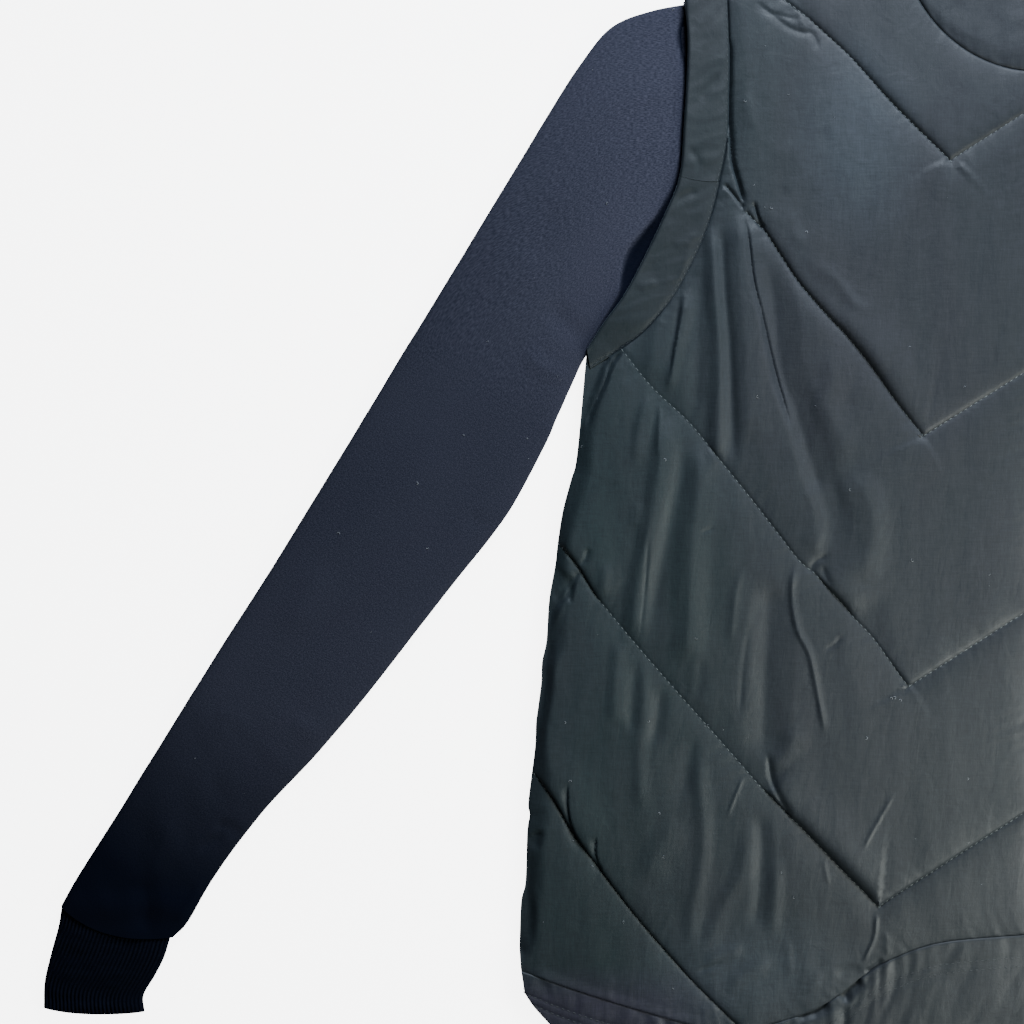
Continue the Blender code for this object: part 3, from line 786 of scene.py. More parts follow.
@dataclass(frozen=True)
class Nylon:
    """Shiny woven nylon: its colours, from shade to shade over the cloth, its painted sheen and painted
    shade, and its gloss.
    """

    name: str
    green: Triple = (0.0165, 0.0305, 0.0335)
    blue: Triple = (0.0215, 0.032, 0.039)
    violet: Triple = (0.0335, 0.031, 0.04)
    dusk: Triple = (0.0335, 0.032, 0.051)
    # the colour of the painted sheen
    pale: Triple = (0.05, 0.064, 0.08)
    slub: Triple = (0.008, 0.011, 0.014)
    # Painted sheen: soft spots where the cloth is made paler to stand in for sheen: |x|, y, half their
    # width and height, and how much
    painted_sheen_spots: tuple[tuple[float, ...], ...] = (
        (0.104, 0.186, 0.034, 0.056, 0.6), (0.168, -0.292, 0.066, 0.032, 0.5),
    )
    gloss: Pair = (0.46, 0.58)
    weave: float = 2600.0  # threads a metre
    crinkle: float = 0.00025
    shade: float = 1.0  # how light it is against the panels' nylon; below 1 it is painted shade on the same nylon

    def in_painted_shade(self, hue: Triple) -> Triple:
        """One of its colours, darkened by its painted shade."""
        return tuple(self.shade * part for part in hue)

    def make(self) -> Material:
        """Make the material.

        Returns:
            The material.
        """
        cloth = Cloth(self.name)
        drift = cloth.fitted(cloth.noise(7.0, 3.0), 0.0, 1.0, 0.35, 0.65)
        second = cloth.fitted(cloth.noise((16.0, 5.0, 5.0), 3.0, 0.5), 0.0, 0.3, 0.45, 0.7)
        colour = cloth.mixed(drift, self.in_painted_shade(self.green), self.in_painted_shade(self.blue))
        colour = cloth.mixed(second, colour, self.in_painted_shade(self.violet))
        aside, lower, _ = cloth.add("ShaderNodeSeparateXYZ", {0: cloth.place}).outputs
        aside = cloth.maths("ABSOLUTE", aside, 0.0)
        at_side = cloth.fitted(aside, 0.55, 0.0, 0.12, 0.25)
        colour = cloth.mixed(at_side, colour, self.in_painted_shade(self.violet))
        corner = cloth.maths("MULTIPLY", cloth.fitted(aside, 0.0, 1.0, 0.17, 0.21),
                             cloth.fitted(lower, 1.0, 0.0, -0.305, -0.285))
        colour = cloth.mixed(corner, colour, self.in_painted_shade(self.dusk))
        flat = cloth.add("ShaderNodeCombineXYZ", {0: aside, 1: lower}).outputs[0]
        # Painted sheen: soft lighter spots stand in for the sheen that the light lays on the cloth
        for x, y, wide, high, share in self.painted_sheen_spots:
            off = cloth.vector("SUBTRACT", flat, (x, y, 0.0)).outputs[0]
            off = cloth.vector("MULTIPLY", off, (1 / wide, 1 / high, 0.0)).outputs[0]
            off = cloth.vector("LENGTH", off).outputs["Value"]
            near = cloth.fitted(off, share, 0.0, 0.35, 1.25)
            colour = cloth.mixed(near, colour, self.in_painted_shade(self.pale))
        for slubs in ((1500.0, 130.0, 300.0), (130.0, 1500.0, 300.0)):
            darker = cloth.fitted(cloth.noise(slubs, 2.0, 0.6), 0.0, 0.42, 0.3, 0.8)
            colour = cloth.mixed(darker, colour, self.slub)
        streaks = cloth.noise((150.0, 34.0, 60.0), 4.0, 0.7, 8.0)
        crumple = cloth.noise(70.0, 5.0, 0.9)
        fine = cloth.noise((520.0, 300.0, 400.0), 3.0, 0.8)
        warp = cloth.ridges(self.weave, 0.0)
        weft = cloth.ridges(self.weave, 90.0)
        weave = cloth.maths("MULTIPLY", warp, weft)
        cloth.bumped(
            (crumple, self.crinkle), (streaks, self.crinkle * 0.8), (fine, 0.00005), (weave, 0.00002)
        )
        cloth.set(
            Base_Color=colour,
            Roughness=cloth.fitted(streaks, *self.gloss),
            Sheen_Weight=0.14,
            Sheen_Roughness=0.4,
            Sheen_Tint=(0.66, 0.84, 1.0),
            Specular_IOR_Level=0.3,
        )
        return cloth.material


@dataclass(frozen=True)
class Knit:
    """Dense matt knit: its two yarn shades, the loops' size, how far its surface stands, and the shade
    painted into its colour.
    """

    name: str
    light: Triple
    dark: Triple
    wales: float = 1500.0  # loops a metre across
    relief: float = 0.00012
    rib: float = 0.0  # ribs a metre across, or none
    sheen: float = 0.04
    painted_falloff: Triple = (0.66, 1.15, 0.0)  # painted light and shade along the sleeve, shoulder to hand: its colour's change, near to far
    deep: Triple = (0.0001, 0.0017, 0.0085)  # the colour of the painted shade, towards the hand and in the hollow beside the band

    def make(self) -> Material:
        """Make the material.

        Returns:
            The material.
        """
        cloth = Cloth(self.name)
        cloth.place = cloth.add("ShaderNodeAttribute", attribute_name="cloth").outputs["Vector"]
        speckle = cloth.noise(self.wales, 2.0)
        fleck = cloth.noise(self.wales * 0.45, 3.0)
        blur = cloth.noise((14.0, 9.0, 9.0), 3.0)
        colour = cloth.mixed(cloth.fitted(speckle, 0.0, 1.0, 0.36, 0.64), self.dark, self.light)
        shade = cloth.fitted(fleck, 0.0, 0.45, 0.35, 0.7)
        colour = cloth.mixed(shade, colour, self.dark)
        colour = cloth.mixed(cloth.fitted(blur, 0.0, 0.25), colour, self.light)
        # Painted shade: the colour darkens along the sleeve towards the hand, where the light falls off,
        # and in the hollow beside the band
        _, along, painted_hollow_shade = cloth.add("ShaderNodeSeparateXYZ", {0: cloth.place}).outputs
        painted_lightness = cloth.fitted(painted_hollow_shade, 1.0, 0.04, 0.0, FULL_PAINTED_SHADE)
        for share, start, end in zip(self.painted_falloff, (0.012, 0.14, 0.28), (0.06, 0.24, 0.395)):
            painted_lightness = cloth.maths("MULTIPLY", painted_lightness, cloth.fitted(along, 1.0, share, start, end))
        colour = cloth.mixed(painted_lightness, self.deep, colour)
        wales = cloth.ridges(self.wales, 0.0, 1.5)
        courses = cloth.ridges(self.wales * 1.3, 90.0, 1.5)
        loops = cloth.maths("MULTIPLY", wales, courses)
        layers = [(fleck, self.relief), (speckle, self.relief), (loops, self.relief * 0.2)]
        if self.rib:
            layers.append((cloth.ridges(self.rib, 0.0, 0.2), 0.0005))
        cloth.bumped(*layers)
        cloth.set(
            Base_Color=colour,
            Roughness=cloth.fitted(fleck, 0.82, 0.95),
            Sheen_Weight=self.sheen,
            Sheen_Roughness=0.5,
            Sheen_Tint=(0.72, 0.82, 1.0),
            Specular_IOR_Level=0.1,
        )
        return cloth.material


@dataclass(frozen=True)
class Plain:
    """Thread, tape, moulded plastic or fluff: a colour, its grain and its gloss."""

    name: str
    colour: Triple
    rough: float
    grain: float  # grains a metre
    relief: float

    def make(self) -> Material:
        """Make the material.

        Returns:
            The material.
        """
        cloth = Cloth(self.name)
        grain = cloth.noise(self.grain, 3.0)
        darker = tuple(0.6 * part for part in self.colour)
        cloth.bumped((grain, self.relief))
        cloth.set(
            Base_Color=cloth.mixed(cloth.fitted(grain, 0.0, 1.0), self.colour, darker),
            Roughness=cloth.fitted(grain, self.rough - 0.06, self.rough + 0.06),
        )
        return cloth.material


class Finishes:
    """Every material of the jacket."""

    def __init__(self) -> None:
        """Make them all."""
        self.nylon = Nylon("quilted nylon").make()
        # The bands' nylon is the panels' nylon darkened: painted shade
        self.band = Nylon("band nylon", crinkle=0.00022, shade=0.72).make()
        self.sleeve = Knit("sleeve knit", (0.0545, 0.056, 0.082), (0.0185, 0.0205, 0.034)).make()
        self.cuff = Knit(
            "cuff knit", (0.0006, 0.0024, 0.01), (0.0003, 0.0012, 0.0055),
            wales=1100.0, rib=420.0, sheen=0.02, painted_falloff=(1.0, 1.0, 1.0),
        ).make()
        self.thread = Plain("quilting thread", (0.14, 0.165, 0.174), 0.55, 3500.0, 0.00004).make()
        self.dark_thread = Plain("seam thread", (0.036, 0.044, 0.05), 0.6, 3500.0, 0.00004).make()
        self.tape = Plain("zip tape", (0.012, 0.014, 0.018), 0.8, 1400.0, 0.00012).make()
        self.plastic = Plain("moulded plastic", (0.015, 0.017, 0.02), 0.38, 260.0, 0.00003).make()
        self.fluff = Plain("fluff", (0.3, 0.32, 0.35), 0.9, 2000.0, 0.00002).make()


# --- Body ---
# Folds of one front: the fan below the armhole's cross seam first
FRONT_FOLDS = (
    fold(1.1, -1.3, 0.4, 0.15, -169, 144, -166, 129, -163, 105, -158, 85, -151, 55, -141, 19),
    fold(6, -2.9, -0.25, 0.2, -158, 128, -152, 95, -148, 57, -139, 31, -132, 8, -126, -11, -121, -27,
         -122, -43, -131, -55),
    fold(6, 1.8, -0.2, 0.15, -172, 149, -172, 123, -171, 100, -168, 72, -167, 43, -166, 8),
    fold(3.4, 2.2, 0, 0.12, -187, 138, -186, 123, -185, 100, -183, 72, -183, 37, -185, -6),
    fold(2.6, -1.6, 0.2, 0.12, -182, 137, -180, 100, -177, 66, -175, 31, -174, -3),
    fold(3.4, -0.9, 0.2, 0.2, -193, 116, -194, 89, -195, 54, -197, 23),
    fold(2.6, 1.6, -0.3, 0.25, -201, 103, -203, 88, -207, 69, -211, 46, -211, 37),
    fold(1, -1.2, 0.3, 0.3, -204, 96, -207, 77, -210, 59, -212, 46),
    fold(4.5, 1, -0.2, 0.3, -213, 95, -220, 69, -223, 42),
    fold(3, 0.9, -0.4, 0.3, -221, 43, -227, 28, -230, 11, -231, -6),
    soft(1.2, 0.6, -216, 38, -217, 20, -218, 0),
    fold(4.6, 2, -0.25, 0.15, -212, 32, -216, 5, -220, -20, -225, -46, -231, -78, -233, -107),
    fold(4.5, -1.3, -0.1, 0.2, -200, 19, -203, -6, -209, -32, -216, -64, -220, -98),
    fold(6, 1.8, -0.1, 0.15, -194, 14, -195, -15, -198, -43, -200, -78, -202, -118),
    soft(0.9, -0.5, -223, -38, -225, -72, -228, -101),
    fold(2.4, 0.7, 0, 0.35, -228, -20, -230, -29, -231, -38),
    fold(2.4, 0.7, 0, 0.35, -247, -55, -248, -65, -250, -77),
    soft(1.1, -0.35, -194, -39, -190, -38, -185, -36),
    soft(2, 0.6, -169, -55, -174, -78, -177, -107),
    soft(1.6, -0.6, -165, -89, -169, -118, -171, -148),
    soft(2.2, -0.5, -192, -110, -193, -121, -196, -133),
    fold(1.5, 1.1, -0.2, 0.15, -137, -53, -141, -66, -141, -80, -138, -95, -132, -107, -129, -119,
         -126, -135, -122, -156),
    fold(7.6, -2.2, -0.13, 0.16, -152, -63, -154, -89, -156, -124, -157, -153, -156, -173),
    fold(1.4, -1.6, -0.2, 0.2, -155, -164, -153, -179, -148, -191, -141, -202),
    fold(5, 1.1, -0.2, 0.3, -137, -148, -143, -160, -149, -169, -152, -177),
    fold(5, 1.2, 0.2, 0.2, -128, -8, -122, -23, -125, -41, -132, -53),
    fold(7, 1.5, 0.1, 0.2, -109, -3, -97, -23, -96, -43, -103, -69),
    fold(6, 1.2, -0.1, 0.25, -122, 69, -118, 50, -122, 34, -113, 14, -108, -3),
    soft(1.5, -1, -132, -64, -128, -56, -119, -51),
    soft(1.5, -0.9, -124, -57, -122, -64, -118, -71),
    soft(1.2, -0.5, -123, -106, -117, -103, -112, -97),
    soft(2.2, 0.4, -128, 115, -114, 103, -105, 91, -93, 88),
    fold(5, -0.5, 0.2, 0.3, -141, 116, -126, 103, -113, 88, -108, 76),
    fold(3.2, 1, -0.2, 0.2, -240, -99, -242, -118, -243, -150),
    fold(3, -1, 0, 0.25, -229, -110, -231, -130, -232, -157),
    fold(3.2, 0.8, -0.1, 0.2, -226, -106, -227, -135, -228, -170, -227, -202),
    soft(3, -1.1, -216, -125, -217, -142, -220, -163),
    fold(4, -0.9, 0.2, 0.3, -197, -153, -200, -173, -204, -193),
    fold(3.4, 1, -0.1, 0.2, -196, -157, -194, -181, -192, -210, -194, -233, -198, -253, -201, -282),
    fold(5.5, 0.9, -0.2, 0.3, -206, -200, -217, -219, -226, -239),
    fold(0.8, 0.5, -0.2, 0.3, -168, -176, -174, -190, -179, -203),
    fold(3.4, -1.2, -0.1, 0.2, -160, -196, -158, -219, -160, -245, -164, -268),
    fold(3.8, 0.8, -0.1, 0.25, -166, -204, -170, -233, -180, -250, -188, -272, -193, -283),
    soft(3, 0.8, -150, -222, -151, -250, -154, -273),
    fold(0.9, 0.6, 0.1, 0.3, -82, -186, -89, -198, -97, -212, -102, -222),
    fold(0.9, 0.9, -0.1, 0.2, -93, -255, -94, -268, -97, -276, -101, -285),
    soft(1.6, 0.4, -88, -265, -87, -275, -88, -284),
    soft(1.2, 0.3, -123, -223, -122, -232, -120, -241),
    soft(1.2, -0.6, -197, -290, -189, -287, -180, -283),
    soft(3, 1, -193, -284, -180, -279, -167, -276),
    soft(3.4, 0.8, -180, -301, -167, -290, -150, -282),
    soft(2.4, 0.5, -145, -268, -143, -280, -142, -295),
    soft(2.2, 0.3, -125, -286, -128, -296, -135, -303),
    fold(2.6, -0.8, 0.2, 0.3, -117, -292, -108, -288, -99, -291),
    fold(1.2, -1.6, 0, 0.25, -100, -290, -94, -287, -89, -282),
    fold(3.2, 1.4, 0, 0.12, -294, -289, -268, -299, -240, -308, -222, -313, -205, -318, -182, -322),
    fold(1.3, -1.6, 0.7, 0.2, -269, -181, -269, -196, -266, -209, -259, -222),
    fold(1.3, -1.4, 0.7, 0.2, -253, -212, -253, -223, -249, -233),
    step(5, -4.6, 0, 0.12, -237, 66, -244, 58, -248, 47, -254, 34, -259, 20, -263, 4),
    fold(1.2, -1.4, 0, 0.25, -254, 54, -250, 58, -244, 61),
    fold(1.4, -2.4, 0.2, 0.15, -236, 67, -244, 57, -248, 46, -254, 33, -259, 20),
    fold(2, -1.8, 0.3, 0.2, -265, -66, -270, -75, -277, -82, -280, -95),
    fold(1.6, -1.2, 0.3, 0.2, -262, -60, -266, -69, -268, -80),
    step(3.5, -2, 0, 0.25, -263, -65, -269, -73, -275, -81),
    soft(1.4, -1, -257, -47, -259, -54, -263, -58),
    fold(1.6, 1.2, 0, 0.25, -270, -78, -277, -92, -279, -106),
    step(5, -2.6, 0, 0.25, -270, -81, -275, -101, -277, -130, -282, -160, -285, -176),
    step(3.5, -2.2, 0, 0.3, -284, -206, -282, -211, -285, -222),
    step(4.5, -2.4, 0, 0.25, -286, -222, -288, -239, -286, -256, -287, -279),
    fold(1.5, -0.6, 0.2, 0.15, -163, 264, -152, 256, -143, 249, -135, 246, -129, 245, -125, 234),
    fold(1.1, -0.4, 0, 0.25, -154, 258, -145, 255, -137, 254),
    fold(1.8, 0.5, 0, 0.2, -143, 265, -137, 258, -135, 251, -131, 247),
    soft(2.4, 0.35, -168, 214, -166, 204, -163, 189),
    fold(5, 0.45, -0.2, 0.3, -133, 224, -136, 199, -144, 180, -156, 165),
    soft(4, -0.4, -135, 221, -137, 195, -143, 175),
    fold(4, -0.4, 0.2, 0.3, -143, 159, -147, 151, -154, 142),
    soft(4.5, -0.4, -128, 162, -133, 147, -135, 128),
    soft(2.6, 0.35, -142, 147, -139, 131, -132, 122),
    soft(3, -0.25, -124, 192, -121, 185, -118, 181),
    soft(3, -0.25, -114, 155, -113, 146, -114, 139),
)
# Folds that run into the seams of one front
SEAM_FOLDS = (
    fold(1, -2.6, -0.2, 0.1, -177, 244, -177, 221, -177, 198, -176, 185, -175, 172, -172, 161, -168, 146),
    fold(0.9, -1.4, 0, 0.15, -180, 160, -174, 153, -168, 145),
    fold(1, -1.6, 0.2, 0.2, -163, 150, -160, 139, -156, 134),
)


@dataclass(frozen=True)
class Padding:
    """How a panel swells between the lines that are sewn through it."""

    loft: float = 0.0008  # how high the padding rises above the seams
    reach: float = 0.01  # how far from a seam it takes to rise
    lip: float = 0.0036  # how far from a quilting line its swelling on the hem's side rises
    lip_end: float = 0.019  # how far from the line its swelling has gone
    groove: float = 0.0004  # how deep the stitches pull the cloth in
    pucker: float = 0.00018  # how high the small puckers beside a seam stand
    pucker_every: float = 0.005  # about how far apart they are
    drape: float = 0.0003  # how high the long soft waves down the cloth stand

    def rise(self, lines: Iterable[Array], points: Array) -> Array:
        """The share of the loft that each point has, from 0 at a seam to 1."""
        share = np.ones(len(points))
        for line in lines:
            share *= 1 - np.exp(-((reach(line, points).off / self.reach) ** 1.5))
        return share

    def beside(self, line: Array, points: Array, noise: Noise) -> Array:
        """The lips, stitched groove and puckers beside one quilting line.

        Args:
            line: The line, with its swelling above, near and below it.
            points: Places in the plane, one a row.
            noise: The panel's noise.

        Returns:
            How far they raise each point.
        """
        place = reach(line, points)
        at = lengths_along(line)
        above, near, below = (np.interp(place.along, at, line[:, i]) for i in (2, 3, 4))
        neckward = place.side > 0
        swell, lip = np.where(neckward, above, below), np.where(neckward, near / 1000, self.lip)
        lips = swell / 1000 * (1 - np.exp(-place.off / lip))
        lips *= bell(place.off / self.lip_end)
        holes = 1 + 0.5 * np.cos(2 * pi * place.along / STITCH_PITCH + pi)
        groove = -self.groove * holes * bell(place.off / 0.0007)
        groove *= 0.25 + 0.75 * np.clip(above / 1.6, 0.0, 1.0)
        return lips + groove + self.puckers(place, noise)

    def puckers(self, place: Reach, noise: Noise) -> Array:
        """Small folds that run off a seam, uneven in place, length and height.

        Args:
            place: How the points lie to the seam.
            noise: The panel's noise.

        Returns:
            Their height at each point.
        """
        along = place.along + 0.35 * place.off
        lane = place.side * 11.0
        small = noise.at(along / self.pucker_every, lane)
        uneven = 0.25 + ease(0.5 + noise.at(along / 0.045, lane + 5.0))
        fade = (1 - np.exp(-place.off / 0.0007)) * np.exp(-place.off / 0.0085)
        return 1.6 * self.pucker * small * uneven * fade

    def drapes(self, points: Array, noise: Noise) -> Array:
        """Long soft waves that run down the cloth, leaning a little to the side."""
        x = points[:, 0] + 0.12 * points[:, 1]
        long = noise.layered(x / 0.022, points[:, 1] / 0.13, 2)
        broad = noise.at(x / 0.07, points[:, 1] / 0.15 + 40.0)
        return self.drape * (long + 0.8 * broad)


MILLI = np.array((0.001, 0.001, 1.0, 1.0, 1.0))  # brings rows of the quilting to metres


def half_outline(drop: float) -> dict[str, Array]:
    """The lines round a right half, from the centre of the neck down to the centre of the hem.

    Args:
        drop: How deep the neck is cut.

    Returns:
        The lines by their names.
    """
    armhole = shifted(smooth(BAND_ROWS[:, 2:]), -LAP)
    angles = np.radians(np.linspace(90, 6, 40))
    neck = np.column_stack([-NECK_HALF * np.cos(angles), NECK_Y - drop * np.sin(angles)])
    neck = np.vstack([neck, [(-NECK_HALF - GAP, NECK_Y)]])
    return {
        "neck": neck, "shoulder": np.vstack([neck[-1:], armhole[:1]]), "armhole": armhole,
        "side": smooth(SIDE_LINE), "hem": smooth(HEM_ROWS[:, :2]),
    }


@dataclass(frozen=True)
class Swelling:
    """How far a front's padding lifts its cloth between the stitches, by cloth simulation."""

    spacing: float = 0.0045  # of the simulated cloth's points
    pressure: float = 4.0
    frames: int = 20  # that it settles for
    cap: float = 0.0024  # the most that it lifts the cloth

    def sheet(self, cut: PanelCut) -> Object:
        """The flat cloth of a panel, with the points of its seams in a group named held.

        Args:
            cut: The panel's lines.

        Returns:
            The cloth, which isn't kept as a piece.
        """
        lines = [np.vstack([cut.loop, cut.loop[:1]]), *(line[:, :2] for line in cut.quilting)]
        rows = [resampled(line, self.spacing) for line in lines]
        outline = rows[0][:-1]
        low, high = outline.min(axis=0), outline.max(axis=0)
        grid = staggered(*(int(size / self.spacing) + 2 for size in high - low))
        grid = low + grid * self.spacing
        grid = grid[inside(outline, grid) & (nearest(lines, grid) > 0.6 * self.spacing)]
        points = np.vstack([outline, *rows[1:], grid])
        laid = delaunay_2d_cdt([Vector(p) for p in points], [], [range(len(outline))], 1, 1e-7)
        mesh = bpy.data.meshes.new("padding cloth")
        mesh.from_pydata([(v.x, v.y, 0.0) for v in laid[0]], [], laid[2])
        sheet = placed("padding_cloth", mesh)
        places = np.array([v[:2] for v in laid[0]])
        held = np.flatnonzero(nearest(lines, places) < 0.3 * self.spacing).tolist()
        sheet.vertex_groups.new(name="held").add(held, 1.0, "REPLACE")
        return sheet

    def settle(self, cut: PanelCut) -> BVHTree:
        """Let the padding press the cloth up between its seams.

        Args:
            cut: The panel's lines.

        Returns:
            The shape that it takes.
        """
        sheet = self.sheet(cut)
        cloth = sheet.modifiers.new("settling", "CLOTH")
        cloth.settings.quality = 6
        cloth.settings.vertex_group_mass = "held"
        cloth.settings.use_pressure = True
        cloth.settings.uniform_pressure_force = self.pressure
        cloth.settings.effector_weights.gravity = 0.0
        cloth.point_cache.frame_end = self.frames
        fine = sheet.modifiers.new("fine", "SUBSURF")
        fine.levels = fine.render_levels = 2
        for frame in range(1, self.frames + 1):
            bpy.context.scene.frame_set(frame)
        tree = BVHTree.FromObject(sheet, bpy.context.evaluated_depsgraph_get())
        bpy.data.objects.remove(sheet)
        bpy.context.scene.frame_set(1)
        return tree

    def lift(self, tree: BVHTree, points: Array) -> Array:
        """How far the settled cloth lies up at each point, which nears its cap and never passes it."""
        hits = (tree.ray_cast(Vector((x, y, 1.0)), Vector((0, 0, -1)))[0] for x, y in points)
        up = np.array([hit.z if hit else 0.0 for hit in hits])
        return self.cap * np.tanh(up / self.cap)


@dataclass
class QuiltedFronts:
    """The two padded fronts, with their quilting and the folds that hang from the armholes."""

    finishes: Finishes
    padding: Padding = Padding(loft=0.0005)
    swelling: Swelling = Swelling()
    spacing: float = 0.0018
    fold_depth: float = 0.85
    edge_round: float = 0.0095
    crisp: float = 2.2  # folds narrower than this, in millimetres, get a finer mesh

    def cut(self) -> PanelCut:
        """The lines of the right front.

        Returns:
            Its outline, seams, quilting and crisp folds.
        """
        lines = half_outline(NECK_DROP_FRONT)
        neck = lines["neck"]
        neck = neck[neck[:, 0] < -ZIP_OPEN]
        first = NECK_Y - NECK_DROP_FRONT * sqrt(1 - (ZIP_OPEN / NECK_HALF) ** 2)
        neck = np.vstack([[(-ZIP_OPEN, first)], neck])
        loop = np.vstack([neck, lines["armhole"], lines["side"], lines["hem"]])
        centre = np.vstack([loop[-1:], loop[:1]])
        sewn = [neck, lines["armhole"], lines["hem"], centre]
        folded = [lines["shoulder"], lines["side"]]
        quilting = [smooth(rows * MILLI) for rows in QUILTING]
        folds = (*FRONT_FOLDS, *SEAM_FOLDS)
        features = [smooth(crease.line, 4) for crease in folds if crease.wide < self.crisp]
        return PanelCut(sewn, folded, quilting, loop, features)

    def height(self, cut: PanelCut, settled: BVHTree, points: Array, seed: int) -> Array:
        """The height of the front's top.

        Args:
            cut: The right front's lines.
            settled: The cloth as the padding presses it up.
            points: Places on the right half, one a row.
            seed: Makes each side's cloth its own.

        Returns:
            The front's Z at each point.
        """
        pad = self.padding
        noise = Noise(seed)
        high = pad.loft * pad.rise([*cut.sewn, *cut.quilting], points)
        high += self.swelling.lift(settled, points)
        seams, edge = np.full((2, len(points)), FAR)
        for line in cut.quilting:
            high += pad.beside(line, points, noise)
            seams = np.minimum(seams, reach(line, points).off)
        for line in cut.sewn:
            place = reach(line, points)
            high += pad.puckers(place, noise) * 1.6
            high += 0.0004 * (1 - np.exp(-place.off / 0.002)) * bell(place.off / 0.02)
            edge = np.minimum(edge, place.off)
        calm = 0.25 + 0.75 * (1 - np.exp(-np.minimum(seams, edge) / 0.004))
        high += calm * pad.drapes(points, noise)
        calm = 0.4 + 0.6 * (1 - np.exp(-seams / 0.002))
        high += calm * self.fold_depth * creased(FRONT_FOLDS, points)
        # Below the cross seam the band lies flush, so the front's edge is hardly rounded there
        level = np.where(points[:, 0] < -0.15, ease((0.158 - points[:, 1]) / 0.02), 0.0)
        level *= ease((points[:, 1] - 0.05) / 0.01)
        level = np.maximum(level, ease((-0.245 - points[:, 1]) / 0.015))
        low = 0.72 + 0.24 * level
        thick = SEAM_THICK + high
        thick *= low + (1 - low) * rounded(edge / 0.0012)
        thick += creased(SEAM_FOLDS, points)
        for line in cut.folded:
            place = reach(line, points)
            wide = self.edge_round * (1 + 0.5 * noise.at(place.along / 0.032, 0.5))
            near = place.off / wide
            thick *= 0.05 + 0.95 * (0.45 * rounded(near) + 0.55 * ease(near))
        return FRONT_LOW + np.maximum(thick, 0.0004)

    def build(self) -> list[Object]:
        """Make both fronts.

        Returns:
            The right one and the left one.
        """
        cut = self.cut()
        settled = self.swelling.settle(cut)
        made = []
        for seed, side in enumerate(Side, 3):
            piece = build_panel(
                side.named("quilted_front"), cut.turned(side),
                lambda points: self.height(cut, settled, side.turn(points), seed),
                FRONT_LOW, self.spacing, self.finishes.nylon,
            )
            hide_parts(side.named("front"))
            dress(piece, "padded_nylon")
            made.append(piece)
        return made


def dress(piece: Object, slot: str) -> None:
    """Ride a piece on the jacket's body and report it."""
    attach(piece, "jacket")
    LOG.info("%s: %d faces", piece.name, len(piece.data.polygons))


@dataclass
class QuiltedBack:
    """The padded back, pressed flat where it rests and quilted like the fronts."""

    finishes: Finishes
    padding: Padding = Padding(pucker=0.0003)
    spacing: float = 0.003
    channel: float = 0.0018  # how deep a quilting channel is
    channel_half: float = 0.005
    edge_round: float = 0.009

    def cut(self) -> PanelCut:
        """The lines of the whole back.

        Returns:
            Its whole outline, and the seams and quilting of its right half.
        """
        lines = half_outline(NECK_DROP_BACK)
        right = np.vstack([lines[key] for key in ("neck", "armhole", "side", "hem")])
        right[-1, 0] = 0.0
        loop = np.vstack([right, Side.LEFT.turn(right[1:-1])[::-1]])
        sewn = [lines[key] for key in ("neck", "armhole", "hem")]
        quilting = []
        for rows in QUILTING:
            rows = rows * MILLI
            if rows[-1, 0] > -0.01:
                slope = (rows[-1, 1] - rows[-2, 1]) / (rows[-1, 0] - rows[-2, 0])
                rows[-1, :2] = 0.0, rows[-1, 1] - slope * rows[-1, 0]
            quilting.append(smooth(rows))
        return PanelCut(sewn, [lines["shoulder"], lines["side"]], quilting, loop)

    def height(self, cut: PanelCut, points: Array) -> Array:
        """The Z of the back's underside, which is 0 where it rests.

        Args:
            cut: The back's lines.
            points: Places on either half, one a row.

        Returns:
            The back's Z at each point.
        """
        noise = Noise(8)
        x, y = points.T
        right = np.column_stack([-np.abs(x), y])
        lift = np.zeros(len(points))
        for line in [*cut.quilting, *cut.sewn]:
            place = reach(line, right)
            lift = np.maximum(lift, self.channel * np.exp(-place.off / self.channel_half))
            lift += np.abs(self.padding.puckers(place, noise))
        lift += 0.0003 * np.maximum(noise.layered(x / 0.03, y / 0.09), 0)
        for line in cut.folded:
            lift += 0.0044 * (1 - rounded(reach(line, right).off / self.edge_round))
        return np.where(lift < 0.00012, 0.0, np.minimum(lift, 0.005))

    def build(self) -> Object:
        """Make the back.

        Returns:
            The piece.
        """
        cut = self.cut()
        both = [side.turn(line) for side in Side for line in cut.quilting]
        piece = build_panel(
            "quilted_back", PanelCut(cut.sewn, cut.folded, both, cut.loop),
            lambda points: self.height(cut, points), BACK_TOP, self.spacing, self.finishes.nylon,
        )
        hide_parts("back")
        dress(piece, "padded_nylon")
        return piece


